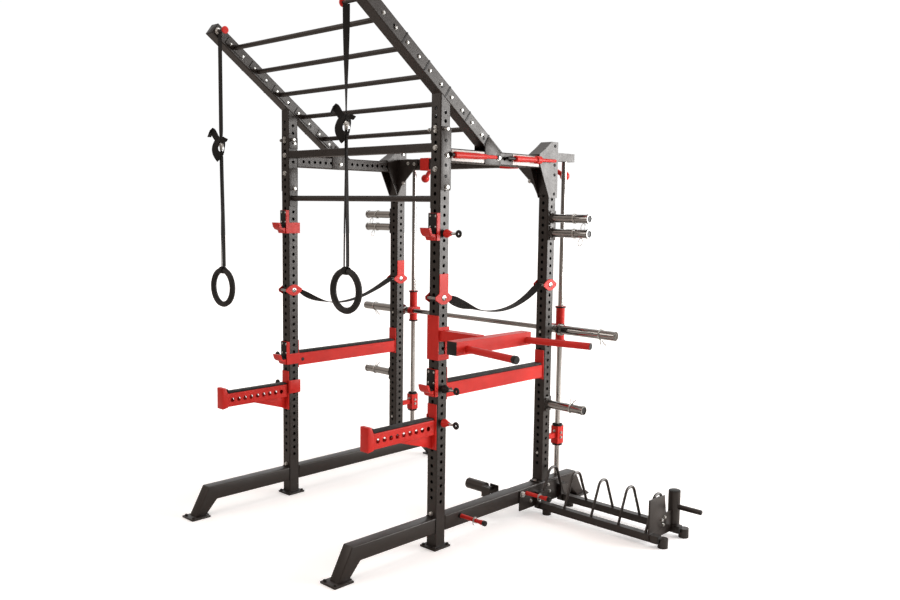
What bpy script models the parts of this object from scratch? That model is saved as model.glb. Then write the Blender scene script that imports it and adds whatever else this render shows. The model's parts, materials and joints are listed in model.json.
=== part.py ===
"""Power cage with a Smith machine, a sloped climbing ladder and its attachments.

Metres, +Z up. Seen from the front, +X is to the right; +Y runs from front to back.
The pieces are set out from a point on the floor midway between the front uprights, in the
plane of their front faces. CENTRE then moves them all, so that the origin is on the floor
under the middle of the overall outline.
"""

from math import cos, sin, tan, radians, hypot

import bmesh
import bpy
from mathutils import Matrix, Vector

# ---------------------------------------------------------------- driving dimensions
GAP = 0.0003              # clearance between touching parts
POST = 0.065              # square upright tube
WALL = 0.0025             # tube wall
WIDTH = 1.255             # over the uprights, left to right
DEPTH = 0.900             # over the uprights, front to back
POST_X = WIDTH / 2 - POST / 2
REAR_Y = DEPTH - POST
RAIL_TOP = 0.158
RAIL_BOTTOM = 0.082
FOOT_T = 0.016            # foot plate thickness
FOOT_W = 0.105
LEG_REACH = 0.530         # front legs, forward of the uprights
TAIL_REACH = 1.160        # rear end of the rails, before they turn down
BEAM_TOP = 1.952
BEAM_BOTTOM = BEAM_TOP - POST
CROSS_TOP = 1.965         # rear crossmember, and the tops of the rear uprights
CROSS_BOTTOM = CROSS_TOP - POST
ARM_Z = (1.932, 1.976)    # arms that hold the tops of the guide rods
LADDER_SLOPE = 0.735      # rise over run of the ladder beams
LADDER_Z0 = 2.243         # ladder centre line above the front face plane
LADDER_TIP = -0.4535      # Y of the beam's upper end, on its centre line
RUNG_Y = (-0.3385, -0.1940, -0.0475, 0.1005, 0.2535)
RUNG_R = 0.0125
PULLUP_Z = 1.712
PULLUP_R = 0.015
ROD_Y = 1.015             # guide rods of the Smith machine
ROD_R = 0.014
BAR_Y = 0.962             # Smith bar axis
BAR_Z = 1.006
BAR_HALF = 1.000
SLEEVE_IN = 0.645
SLEEVE_R = 0.025
CARRIAGE_Z = (0.930, 1.130)
STOP_Z = (0.335, 0.456)
JHOOK_Z = (1.515, 0.765)  # underside of the upper and the lower pair
SAFETY_Z = (0.750, 0.820)
SPOTTER_Z = 0.500
DIP_Z = (0.940, 1.156)
DIP_X = 0.895             # bar that carries the two dip handles
STRAP_Z = {("front", "right"): 1.240, ("rear", "right"): 1.260,
           ("front", "left"): 1.191, ("rear", "left"): 1.217}
STRAP_SAG = {"right": ((0.304, 1.163), (0.483, 1.144)), "left": ((0.285, 1.107), (0.493, 1.105))}
TALL_HALF = 0.0295        # half the width of the tall plate on two of the strap brackets
TALL_TOP = 0.116          # its top above the pins
STRAP_STEPS = 18          # facets along a safety strap
RING_R = 0.091            # centre line of the ring
RING_TUBE = 0.0155
RING_Y = -0.440
RINGS = {"right": (0.470, 1.290), "left": (-0.545, 1.235)}
PEG_REACH = {"right": 0.116, "left": 0.066}   # ring hanger pegs, inward from the ladder beams
LANDMINE_Y = 0.560
RACK_Y = (0.803, 1.010)   # the two tubes of the plate rack
RACK_X = (0.650, 1.392)
RACK_PLATE_X = 1.345      # its end plate
LOOP_X = (0.654, 0.812, 0.986, 1.154, 1.315)
HANDLE_END = 1.495        # outer end of the rack's handle, the furthest point to the right
FOOT_Y = (-0.645, 1.275)  # outer edges of the front and the rear feet
CENTRE = ((HANDLE_END - BAR_HALF) / 2, (FOOT_Y[0] + FOOT_Y[1]) / 2, 0.0)

BLACK = (0.025, 0.022, 0.021)
RED = (0.62, 0.035, 0.028)
CHROME = (0.62, 0.62, 0.62)
WEBBING = (0.02, 0.02, 0.02)
WOOD = (0.045, 0.042, 0.04)

# ---------------------------------------------------------------- scene and helpers
for old in list(bpy.data.objects):
    bpy.data.objects.remove(old, do_unlink=True)

parts = bpy.data.collections.new("power_cage")
cutters = bpy.data.collections.new("cutters")
bpy.context.scene.collection.children.link(parts)
bpy.context.scene.collection.children.link(cutters)


def material(name, colour, roughness, metallic):
    mat = bpy.data.materials.new(name)
    mat.use_nodes = True
    shader = mat.node_tree.nodes["Principled BSDF"]
    shader.inputs["Base Color"].default_value = (*colour, 1.0)
    shader.inputs["Roughness"].default_value = roughness
    shader.inputs["Metallic"].default_value = metallic
    return mat


def new_mesh(build):
    """A bare object whose mesh is filled by build(bmesh)."""
    mesh = bpy.data.meshes.new("shape")
    bm = bmesh.new()
    build(bm)
    bm.to_mesh(mesh)
    bm.free()
    return bpy.data.objects.new("shape", mesh)


def box(x, y, z, matrix=None):
    """A box between the given (low, high) limits."""
    size = (x[1] - x[0], y[1] - y[0], z[1] - z[0])
    centre = ((x[0] + x[1]) / 2, (y[0] + y[1]) / 2, (z[0] + z[1]) / 2)
    place = Matrix.Translation(centre) @ Matrix.Diagonal((*size, 1.0))
    if matrix is not None:
        place = matrix @ place
    return new_mesh(lambda bm: bmesh.ops.create_cube(bm, size=1.0, matrix=place))


def rod(start, end, radius, sides=16, end_radius=None):
    """A solid cylinder, or a cone, from start to end."""
    start, end = Vector(start), Vector(end)
    axis = end - start
    turn = Vector((0, 0, 1)).rotation_difference(axis).to_matrix().to_4x4()
    place = Matrix.Translation((start + end) / 2) @ turn
    tip = radius if end_radius is None else end_radius

    def build(bm):
        bmesh.ops.create_cone(bm, cap_ends=True, segments=sides, radius1=radius,
                              radius2=tip, depth=axis.length, matrix=place)

    return new_mesh(build)


def ball(centre, radius, sides=14):
    def build(bm):
        bmesh.ops.create_uvsphere(bm, u_segments=sides, v_segments=sides // 2 + 1,
                                  radius=radius, matrix=Matrix.Translation(centre))

    return new_mesh(build)


def meshed(curve_object):
    """The curve's solid as a welded mesh object."""
    bpy.context.scene.collection.objects.link(curve_object)
    bpy.context.view_layer.update()
    graph = bpy.context.evaluated_depsgraph_get()
    mesh = bpy.data.meshes.new_from_object(curve_object.evaluated_get(graph))
    place = curve_object.matrix_world.copy()
    bpy.data.objects.remove(curve_object, do_unlink=True)
    bm = bmesh.new()
    bm.from_mesh(mesh)
    bm.transform(place)
    bmesh.ops.remove_doubles(bm, verts=bm.verts, dist=0.00002)
    bmesh.ops.recalc_face_normals(bm, faces=bm.faces)
    bm.to_mesh(mesh)
    bm.free()
    return bpy.data.objects.new("shape", mesh)


def profile(points, low, high, plane="YZ"):
    """A flat outline given in a plane, and extruded between low and high along its normal."""
    curve = bpy.data.curves.new("outline", "CURVE")
    curve.dimensions = "2D"
    curve.fill_mode = "BOTH"
    curve.extrude = (high - low) / 2
    spline = curve.splines.new("POLY")
    spline.points.add(len(points) - 1)
    for slot, point in zip(spline.points, points):
        slot.co = (point[0], point[1], 0.0, 1.0)
    spline.use_cyclic_u = True
    outline = bpy.data.objects.new("outline", curve)
    middle = (low + high) / 2
    if plane == "YZ":
        outline.matrix_world = Matrix(((0, 0, 1, middle), (1, 0, 0, 0), (0, 1, 0, 0), (0, 0, 0, 1)))
    elif plane == "XZ":
        outline.matrix_world = Matrix(((1, 0, 0, 0), (0, 0, -1, middle), (0, 1, 0, 0), (0, 0, 0, 1)))
    else:
        outline.matrix_world = Matrix.Translation((0, 0, middle))
    return meshed(outline)


def tube_path(points, radius, sides=3, cyclic=False):
    """A round bar bent along points."""
    curve = bpy.data.curves.new("path", "CURVE")
    curve.dimensions = "3D"
    curve.bevel_depth = radius
    curve.bevel_resolution = sides
    curve.use_fill_caps = True
    spline = curve.splines.new("POLY")
    spline.points.add(len(points) - 1)
    for slot, point in zip(spline.points, points):
        slot.co = (*point, 1.0)
    spline.use_cyclic_u = cyclic
    return meshed(bpy.data.objects.new("path", curve))


def rounded(points, radius, steps=4):
    """The points of a path with each inner corner turned into a short arc."""
    out = [Vector(points[0])]
    for before, corner, after in zip(points, points[1:], points[2:]):
        corner = Vector(corner)
        back = (Vector(before) - corner).normalized() * radius
        forth = (Vector(after) - corner).normalized() * radius
        for k in range(steps + 1):
            t = k / steps
            out.append(corner + back * (1 - t) ** 2 + forth * t ** 2)
    out.append(Vector(points[-1]))
    return out


def boolean(target, tool, operation):
    cutters.objects.link(tool)
    tool.hide_render = True
    tool.display_type = "WIRE"
    step = target.modifiers.new(operation.lower(), "BOOLEAN")
    step.operation = operation
    step.solver = "EXACT"
    step.object = tool


def part(name, base, joined=(), cut=(), mat=None, origin=(0.0, 0.0, 0.0)):
    """Name the base, join and cut the others, and set its origin."""
    base.name = name
    base.data.name = name
    parts.objects.link(base)
    base.data.materials.append(mat)
    for tool in joined:
        boolean(base, tool, "UNION")
    for tool in cut:
        boolean(base, tool, "DIFFERENCE")
    if any(origin):
        base.data.transform(Matrix.Translation([-c for c in origin]))
        base.location = origin
    return base


def mirrored(points, side):
    return [(side * x, z) for x, z in points]


def span(side, low, high):
    """X limits given for the right side, mirrored for the left one."""
    return (low, high) if side > 0 else (-high, -low)


def ladder(y):
    return LADDER_Z0 - LADDER_SLOPE * y


frame_black = material("frame_black", BLACK, 0.45, 0.0)
plate_black = material("plate_black", BLACK, 0.5, 0.0)
accent_red = material("accent_red", RED, 0.4, 0.0)
chrome = material("chrome", CHROME, 0.18, 1.0)
webbing = material("webbing", WEBBING, 0.9, 0.0)
ring_black = material("ring_black", WOOD, 0.6, 0.0)

SIDES = (("right", 1), ("left", -1))
lean = hypot(1.0, LADDER_SLOPE)
along = Vector((0.0, -1.0 / lean, LADDER_SLOPE / lean))       # up and forward
normal = Vector((0.0, LADDER_SLOPE / lean, 1.0 / lean))       # out of the ladder's top face
ladder_turn = Matrix(((1, 0, 0, 0),
                      (0, -along.y, normal.y, 0),
                      (0, -along.z, normal.z, 0),
                      (0, 0, 0, 1)))


def on_ladder(y, x=0.0, up=0.0):
    """The matrix of a box's frame at a point of the ladder's centre line."""
    place = Vector((x, y, ladder(y))) + normal * up
    return Matrix.Translation(place) @ ladder_turn


# ---------------------------------------------------------------- uprights and base rails
for label, side in SIDES:
    post_x = span(side, POST_X - POST / 2, POST_X + POST / 2)
    bore_x = (post_x[0] + WALL, post_x[1] - WALL)
    foot_x = span(side, POST_X - 0.055, POST_X + 0.050)

    leg = [(0.001, RAIL_TOP), (-LEG_REACH, RAIL_TOP), (-LEG_REACH - 0.082, 0.008),
           (-LEG_REACH - 0.018, 0.008), (-LEG_REACH + 0.050, RAIL_BOTTOM), (0.001, RAIL_BOTTOM)]
    leg_bore = [(0.010, RAIL_TOP - WALL), (-LEG_REACH + 0.002, RAIL_TOP - WALL),
                (-LEG_REACH - 0.072, FOOT_T + 0.008), (-LEG_REACH - 0.023, FOOT_T + 0.008),
                (-LEG_REACH + 0.052, RAIL_BOTTOM + WALL), (0.010, RAIL_BOTTOM + WALL)]
    top_cut = box((-1.0, 1.0), (-0.5, 0.5), (0.0, 0.5),
                  on_ladder(POST / 2, 0.0, -POST / 2 - GAP))
    part("upright_front_" + label,
         box(post_x, (0.0, POST), (0.010, 2.30)),
         joined=(box(foot_x, (-0.0225, POST + 0.0225), (0.0, FOOT_T)),
                 profile(leg, post_x[0] + 0.0005, post_x[1] - 0.0005),
                 box(foot_x, (FOOT_Y[0], FOOT_Y[0] + 0.110), (0.0, FOOT_T))),
         cut=(box(bore_x, (WALL, POST - WALL), (FOOT_T + 0.004, 2.40)),
              profile(leg_bore, bore_x[0], bore_x[1]), top_cut),
         mat=frame_black)

    rear_x = (post_x[0], post_x[1])
    part("upright_rear_" + label,
         box(rear_x, (REAR_Y, DEPTH), (RAIL_TOP + GAP, CROSS_TOP)),
         joined=(box(post_x, (REAR_Y - 0.025, DEPTH + 0.025),
                     (RAIL_TOP + GAP, RAIL_TOP + 0.0063)),),
         cut=(box(bore_x, (REAR_Y + WALL, DEPTH - WALL), (0.10, 2.10)),),
         mat=frame_black)

    rail = [(POST + GAP, RAIL_TOP), (TAIL_REACH, RAIL_TOP), (TAIL_REACH + 0.088, 0.008),
            (TAIL_REACH + 0.022, 0.008), (TAIL_REACH - 0.052, RAIL_BOTTOM),
            (POST + GAP, RAIL_BOTTOM)]
    rail_bore = [(0.0, RAIL_TOP - WALL), (TAIL_REACH - 0.002, RAIL_TOP - WALL),
                 (TAIL_REACH + 0.077, FOOT_T + 0.008), (TAIL_REACH + 0.027, FOOT_T + 0.008),
                 (TAIL_REACH - 0.054, RAIL_BOTTOM + WALL), (0.0, RAIL_BOTTOM + WALL)]
    on_rail = [box(foot_x, (FOOT_Y[1] - 0.110, FOOT_Y[1]), (0.0, FOOT_T))]
    if side > 0:
        rail_in = POST_X - POST / 2
        on_rail += [
            box((rail_in - 0.006, rail_in + 0.001), (LANDMINE_Y - 0.050, LANDMINE_Y + 0.050),
                (RAIL_BOTTOM + 0.002, RAIL_TOP - 0.002)),
            box((0.478, rail_in - 0.004), (LANDMINE_Y - 0.026, LANDMINE_Y + 0.026),
                (0.088, 0.096)),
            rod((0.505, LANDMINE_Y, 0.094), (0.505, LANDMINE_Y, 0.110), 0.012, 16)]
    part("base_rail_" + label,
         profile(rail, post_x[0], post_x[1]),
         joined=on_rail,
         cut=(profile(rail_bore, bore_x[0], bore_x[1]),),
         mat=frame_black)

    part("side_beam_" + label,
         box(post_x, (POST + GAP, REAR_Y - GAP), (BEAM_BOTTOM, BEAM_TOP)),
         cut=(box(bore_x, (0.0, 1.0), (BEAM_BOTTOM + WALL, BEAM_TOP - WALL)),),
         mat=frame_black)

# ---------------------------------------------------------------- rear corners
for label, side in SIDES:
    outer = span(side, POST_X + POST / 2 + GAP, POST_X + POST / 2 + 0.0053)
    inner = span(side, POST_X - POST / 2 - 0.0053, POST_X - POST / 2 - GAP)
    both = (min(outer[0], inner[0]), max(outer[1], inner[1]))
    cheek = [(0.745, 1.9575), (0.806, 1.996), (0.850, 2.028), (0.9053, 2.028), (0.9053, 1.731),
             (0.834, 1.731), (0.750, 1.907)]
    roof = [(0.745, 1.9545), (0.745, 1.9590), (0.806, 1.998), (0.850, 2.030), (0.9053, 2.030),
            (0.9053, 2.0254), (0.8515, 2.0254), (0.807, 1.993)]
    web = POST_X - POST / 2 - 0.002
    gusset = mirrored([(web, CROSS_TOP), (0.380, CROSS_TOP), (0.380, 1.930), (0.396, 1.915),
                       (0.526, 1.800), (0.557, 1.745), (web, 1.745)], side)
    part("corner_bracket_" + label,
         profile(cheek, *outer),
         joined=(profile(cheek, *inner),
                 profile(roof, *both),
                 profile(gusset, REAR_Y - 0.0053, REAR_Y - GAP, "XZ"),
                 box(both, (REAR_Y - 0.0053, REAR_Y - GAP), (1.745, BEAM_BOTTOM - GAP)),
                 box(both, (DEPTH + GAP, DEPTH + 0.0053), (1.733, 2.029)),
                 box(span(side, POST_X - 0.020, POST_X + 0.020), (DEPTH + 0.004, 1.080), ARM_Z)),
         mat=plate_black)

cross_half = POST_X - POST / 2 - 0.0056
part("rear_crossmember",
     box((-cross_half, cross_half), (REAR_Y, DEPTH), (CROSS_BOTTOM, CROSS_TOP)),
     cut=(box((-1.0, 1.0), (REAR_Y + WALL, DEPTH - WALL),
              (CROSS_BOTTOM + WALL, CROSS_TOP - WALL)),),
     mat=frame_black)

inside = POST_X - POST / 2 - GAP
part("front_crossbeam",
     box((-inside, inside), (0.003, 0.061), (1.935, 1.975)),
     cut=(box((-1.0, 1.0), (0.003 + WALL, 0.061 - WALL), (1.935 + WALL, 1.975 - WALL)),),
     mat=frame_black)

part("pullup_bar",
     rod((-inside, POST / 2, PULLUP_Z), (inside, POST / 2, PULLUP_Z), PULLUP_R, 20),
     joined=(box((-inside, -inside + 0.005), (0.005, 0.060), (PULLUP_Z - 0.045, PULLUP_Z + 0.045)),
             box((inside - 0.005, inside), (0.005, 0.060), (PULLUP_Z - 0.045, PULLUP_Z + 0.045))),
     mat=frame_black)

# ---------------------------------------------------------------- sloped ladder
tip = Vector((0.0, LADDER_TIP, ladder(LADDER_TIP)))
for label, side in SIDES:
    centre = side * POST_X
    turned = Matrix.Translation((centre, tip.y, tip.z)) @ ladder_turn
    length = 1.30
    outer = span(side, POST_X + POST / 2 - 0.0005, POST_X + POST / 2 + 0.0043)
    inner = span(side, POST_X - POST / 2 - 0.0043, POST_X - POST / 2 + 0.0005)
    clamp = [(0.312, 1.887), (0.430, 1.887), (0.430, 1.955), (0.338, 2.022), (0.312, 1.985)]
    seat = BEAM_TOP + GAP
    hook_y = RING_Y
    hook_z = ladder(hook_y) - 0.005
    reach = POST_X - POST / 2
    peg = PEG_REACH[label]
    part("ladder_beam_" + label,
         box((-POST / 2, POST / 2), (0.0, length), (-POST / 2, POST / 2), turned),
         joined=(profile(clamp, *outer), profile(clamp, *inner),
                 rod((side * (reach + 0.001), hook_y, hook_z),
                     (side * (reach - peg), hook_y, hook_z), 0.009, 12),
                 rod((side * (reach - peg + 0.004), hook_y, hook_z),
                     (side * (reach - peg - 0.006), hook_y, hook_z), 0.019, 16)),
         cut=(box((-POST / 2 + WALL, POST / 2 - WALL), (-0.1, length + 0.1),
                  (-POST / 2 + WALL, POST / 2 - WALL), turned),
              box(span(side, POST_X - POST / 2 - GAP, POST_X + POST / 2 + GAP),
                  (-0.2, 1.2), (1.0, seat)),
              box((-1.0, 1.0), (-0.5, 1.5), (1.0, 1.884))),
         mat=frame_black)

for number, y in enumerate(RUNG_Y, start=1):
    flanges = [box(limits, (-0.060, 0.060), (-0.019, 0.019), on_ladder(y))
               for limits in ((inside - 0.004, inside), (-inside, -inside + 0.004))]
    z = ladder(y)
    part("rung_%d" % number, rod((-inside, y, z), (inside, y, z), RUNG_R, 16),
         joined=flanges, mat=frame_black)

# ---------------------------------------------------------------- Smith machine
for label, side in SIDES:
    x = side * POST_X
    part("guide_rod_" + label,
         rod((x, ROD_Y, RAIL_TOP + GAP), (x, ROD_Y, ARM_Z[0] - GAP), ROD_R, 20),
         mat=chrome)

    low, high = CARRIAGE_Z
    block = span(side, POST_X - 0.060, POST_X - 0.022)
    part("carriage_" + label,
         rod((x, ROD_Y, low + 0.008), (x, ROD_Y, high - 0.008), 0.0245, 20),
         joined=(rod((x, ROD_Y, low), (x, ROD_Y, low + 0.010), 0.0285, 20),
                 rod((x, ROD_Y, high - 0.010), (x, ROD_Y, high), 0.0285, 20),
                 box(block, (BAR_Y, ROD_Y + 0.006), (BAR_Z - 0.022, BAR_Z + 0.022)),
                 rod((block[0], BAR_Y, BAR_Z), (block[1], BAR_Y, BAR_Z), 0.0235, 20)),
         cut=(rod((x, ROD_Y, low - 0.02), (x, ROD_Y, high + 0.02), ROD_R + GAP, 20),
              rod((block[0] - 0.01, BAR_Y, BAR_Z), (block[1] + 0.01, BAR_Y, BAR_Z),
                  ROD_R + GAP, 20)),
         mat=accent_red, origin=(x, ROD_Y, BAR_Z))

    low, high = STOP_Z
    middle = (low + high) / 2
    part("safety_stop_" + label,
         box((x - 0.024, x + 0.024), (ROD_Y - 0.026, ROD_Y + 0.026), (low + 0.010, high - 0.010)),
         joined=(rod((x, ROD_Y, low), (x, ROD_Y, low + 0.012), 0.0280, 20),
                 rod((x, ROD_Y, high - 0.012), (x, ROD_Y, high), 0.0280, 20),
                 box((x - 0.010, x + 0.010), (DEPTH + 0.002, ROD_Y - 0.020),
                     (middle - 0.014, middle + 0.014)),
                 box((x - 0.010, x + 0.010), (DEPTH + 0.002, DEPTH + 0.012),
                     (middle - 0.030, middle + 0.010))),
         cut=(rod((x, ROD_Y, low - 0.02), (x, ROD_Y, high + 0.02), ROD_R + GAP, 20),),
         mat=accent_red, origin=(x, ROD_Y, middle))

hook = [(0.0, 0.021), (-0.020, 0.021), (-0.038, 0.012), (-0.043, 0.004), (-0.043, -0.020),
        (-0.034, -0.020), (-0.032, -0.002), (-0.020, -0.008), (0.0, -0.008)]
bar_joined = [rod((-BAR_HALF, BAR_Y, BAR_Z), (BAR_HALF, BAR_Y, BAR_Z), ROD_R, 20)]
for label, side in SIDES:
    x = side * POST_X
    bar_joined += [
        rod((side * SLEEVE_IN, BAR_Y, BAR_Z), (side * (BAR_HALF - 0.001), BAR_Y, BAR_Z),
            SLEEVE_R, 20),
        rod((side * (SLEEVE_IN - 0.012), BAR_Y, BAR_Z), (side * (SLEEVE_IN + 0.004), BAR_Y, BAR_Z),
            0.034, 20),
        rod((side * (POST_X - 0.019), BAR_Y, BAR_Z), (side * (POST_X + 0.019), BAR_Y, BAR_Z),
            0.0215, 20),
        profile([(BAR_Y + y, BAR_Z + z) for y, z in hook], x - 0.009, x + 0.009),
    ]
part("smith_bar", bar_joined[0], joined=bar_joined[1:], mat=chrome,
     origin=(0.0, BAR_Y, BAR_Z))

# ---------------------------------------------------------------- J-hooks and pull pins
pin_seats = [("spotter_pin_right", 1, SPOTTER_Z + 0.132), ("spotter_pin_left", -1, SPOTTER_Z + 0.132)]
for level, base_z in zip(("upper", "lower"), JHOOK_Z):
    for label, side in SIDES:
        out = span(side, POST_X + POST / 2 + GAP, POST_X + POST / 2 + 0.0043)
        ins = span(side, POST_X - POST / 2 - 0.0043, POST_X - POST / 2 - GAP)
        front = (min(out[0], ins[0]), max(out[1], ins[1]))
        arm = [(-GAP, base_z), (-GAP, base_z + 0.030), (-0.046, base_z + 0.030),
               (-0.056, base_z + 0.060), (-0.069, base_z + 0.060), (-0.063, base_z + 0.036),
               (-0.051, base_z + 0.022), (-0.032, base_z + 0.016), (-0.024, base_z)]
        rib = [(-0.020, base_z), (0.0, base_z), (0.0, base_z + 0.130), (-0.020, base_z + 0.130)]
        wrap = [(-0.004, base_z), (POST + 0.010, base_z), (POST + 0.010, base_z + 0.060),
                (-0.004, base_z + 0.060)]
        pieces = [profile(arm, front[0] + 0.006, front[1] - 0.006)]
        if label == "right":
            pieces += [profile(rib, *out), profile(wrap, *ins)]
        else:  # the four hooks are alike, so the left pair's rib and wrap share one plate
            pieces.append(profile([rib[0], *wrap[1:3], (0.0, base_z + 0.060), *rib[2:]], *ins))
        part("jhook_%s_%s" % (level, label),
             box(front, (-0.0043, -GAP), (base_z, base_z + 0.130)),
             joined=pieces, mat=accent_red)
        pin_seats.append(("jhook_pin_%s_%s" % (level, label), side, base_z + 0.034))

for name, side, z in pin_seats:
    wall = POST_X + POST / 2
    stations = [side * (wall + step) for step in (0.0015, 0.014, 0.012, 0.034, 0.030, 0.080, 0.094)]
    part(name,
         rod((stations[0], POST / 2, z), (stations[1], POST / 2, z), 0.015, 16),
         joined=(rod((stations[2], POST / 2, z), (stations[3], POST / 2, z), 0.021, 16, 0.013),
                 rod((stations[4], POST / 2, z), (stations[5], POST / 2, z), 0.006, 12),
                 ball((stations[6], POST / 2, z), 0.018)),
         mat=chrome, origin=(side * wall, POST / 2, z))

# ---------------------------------------------------------------- safety bars and spotter arms
for label, side in SIDES:
    low, high = SAFETY_Z
    bar_x = span(side, POST_X - 0.025, POST_X + 0.025)
    plate_x = span(side, POST_X - 0.030, POST_X + 0.030)
    part("safety_bar_" + label,
         box(bar_x, (POST + 0.003, REAR_Y - 0.003), (low, high)),
         joined=(box(plate_x, (POST + GAP, POST + 0.0053), (low - 0.010, high + 0.080)),
                 box(plate_x, (REAR_Y - 0.0053, REAR_Y - GAP), (low - 0.010, high + 0.080))),
         cut=(box((bar_x[0] + 0.003, bar_x[1] - 0.003), (POST + 0.010, REAR_Y - 0.010),
                  (low - 0.01, high - 0.003)),),
         mat=accent_red)

    base = SPOTTER_Z
    arm_x = span(side, POST_X - 0.022, POST_X + 0.022)
    out = span(side, POST_X + POST / 2 + GAP, POST_X + POST / 2 + 0.0043)
    ins = span(side, POST_X - POST / 2 - 0.0043, POST_X - POST / 2 - GAP)
    gusset = [(-0.003, base + 0.004), (-0.003, base + 0.080), (-0.240, base + 0.080)]
    nose = [(-0.402, base + 0.072), (-0.402, base + 0.150), (-0.415, base + 0.182),
            (-0.436, base + 0.182), (-0.436, base + 0.066)]
    wrap = [(-0.004, base + 0.095), (POST + 0.010, base + 0.095),
            (POST + 0.010, base + 0.170), (-0.004, base + 0.170)]
    part("spotter_arm_" + label,
         box((arm_x[0], arm_x[1]), (-0.410, -0.002), (base + 0.074, base + 0.148)),
         joined=(box(plate_x, (-0.0053, -GAP), (base, base + 0.224)),
                 profile(gusset, side * POST_X - 0.003, side * POST_X + 0.003),
                 profile(nose, side * POST_X - 0.028, side * POST_X + 0.028),
                 box(span(side, POST_X - POST / 2 - 0.0043, POST_X - 0.020), (-0.0053, -GAP),
                     (base + 0.095, base + 0.170)),
                 profile(wrap, *ins)),
         cut=(box((arm_x[0] + 0.003, arm_x[1] - 0.003), (-0.398, -0.008),
                  (base + 0.070, base + 0.145)),),
         mat=accent_red)

# ---------------------------------------------------------------- dip attachment, right upright
low, high = DIP_Z
out = (POST_X + POST / 2 + GAP, POST_X + POST / 2 + 0.0053)
ins = (POST_X - POST / 2 - 0.0053, POST_X - POST / 2 - GAP)
part("dip_bar",
     box((ins[0], out[1]), (-0.0053, -GAP), (low, high)),
     joined=(profile([(-0.003, low), (POST + 0.006, low), (POST + 0.006, 1.100), (-0.003, 1.100),
                      (-0.003, 1.030), (0.045, 1.030), (0.045, low + 0.028),
                      (-0.003, low + 0.028)], *out),
             box(ins, (-0.0053, POST + 0.006), (low, 1.020)),
             box((ins[0], out[1]), (POST + GAP, POST + 0.0053), (low, 1.010)),
             box((out[0] + 0.001, DIP_X - 0.024), (0.005, 0.055), (1.036, 1.086)),
             box((DIP_X - 0.029, DIP_X + 0.029), (-0.185, 0.335), (1.019, 1.081)),
             rod((DIP_X + 0.021, 0.307, 1.043), (1.248, 0.371, 1.043), 0.0165, 16),
             rod((DIP_X + 0.021, -0.112, 1.043), (1.250, -0.174, 1.043), 0.0165, 16),
             rod((ins[0] + 0.002, POST / 2, low + 0.040), (ins[0] - 0.018, POST / 2, low + 0.040),
                 0.016, 12)),
     mat=accent_red)


# ---------------------------------------------------------------- safety straps and brackets
eye = [(-0.056, 0.006), (-0.054, -0.009), (-0.026, -0.025), (-0.013, -0.031), (0.013, -0.031),
       (0.026, -0.025), (0.054, -0.009), (0.056, 0.006), (0.028, 0.024), (0.013, 0.031),
       (-0.013, 0.031), (-0.028, 0.024)]
pin_out = POST / 2 + 0.010


def sag(y, knots):
    """Height of a strap's middle line: one smooth curve through its four knots."""
    total = 0.0
    for i, (yi, zi) in enumerate(knots):
        weight = 1.0
        for j, (yj, _) in enumerate(knots):
            if j != i:
                weight *= (y - yj) / (yi - yj)
        total += zi * weight
    return total


for label, side in SIDES:
    for end, middle in (("front", POST / 2), ("rear", REAR_Y + POST / 2)):
        height = STRAP_Z[end, label]
        out = span(side, POST_X + POST / 2 + GAP, POST_X + POST / 2 + 0.0043)
        ins = span(side, POST_X - POST / 2 - 0.0043, POST_X - POST / 2 - GAP)
        cheek = [(middle + y, height + z) for y, z in eye]
        x = (side * (POST_X - POST / 2 - 0.0035), side * (POST_X + POST / 2 + 0.0035))
        joined = [profile(cheek, *ins)]
        joined += [rod((x[0], middle + y, height), (x[1], middle + y, height), 0.007, 12)
                   for y in (-pin_out, pin_out)]
        if (end, label) in (("front", "right"), ("rear", "left")):
            tall = out if side > 0 else ins
            joined.append(box(tall, (middle - TALL_HALF, middle + TALL_HALF),
                              (height + 0.020, height + TALL_TOP)))
        part("strap_bracket_%s_%s" % (end, label), profile(cheek, *out), joined=joined,
             mat=accent_red)

    low_y = POST / 2 + pin_out + 0.0092
    high_y = REAR_Y + POST / 2 - pin_out - 0.0092
    knots = [(low_y, STRAP_Z["front", label] + 0.004), *STRAP_SAG[label],
             (high_y, STRAP_Z["rear", label] + 0.006)]
    upper, lower = [], []
    for k in range(STRAP_STEPS + 1):
        y = low_y + (high_y - low_y) * k / STRAP_STEPS
        z = sag(y, knots)
        slope = (sag(y + 0.001, knots) - sag(y - 0.001, knots)) / 0.002
        lift = 0.0025 / hypot(1.0, slope)
        upper.append((y - slope * lift, z + lift))
        lower.append((y + slope * lift, z - lift))
    part("safety_strap_" + label,
         profile(upper + lower[::-1], side * POST_X - 0.024, side * POST_X + 0.024),
         mat=webbing)

# ---------------------------------------------------------------- rings on their straps
for label, side in SIDES:
    x, ring_z = RINGS[label]
    peg_z = ladder(RING_Y) - 0.005 - 0.009 - GAP
    ring_top = ring_z + RING_R + RING_TUBE
    band = [(RING_Y - 0.007, peg_z), (RING_Y + 0.007, peg_z),
            (RING_Y + 0.007, ring_top + GAP), (RING_Y - 0.007, ring_top + GAP)]
    part("ring_strap_" + label, profile(band, x - 0.015, x + 0.015), mat=webbing)
    circle = [(x + RING_R * cos(radians(a)), RING_Y, ring_z + RING_R * sin(radians(a)))
              for a in range(0, 360, 12)]
    part("ring_" + label, tube_path(circle, RING_TUBE, 2, cyclic=True), mat=ring_black)

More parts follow.
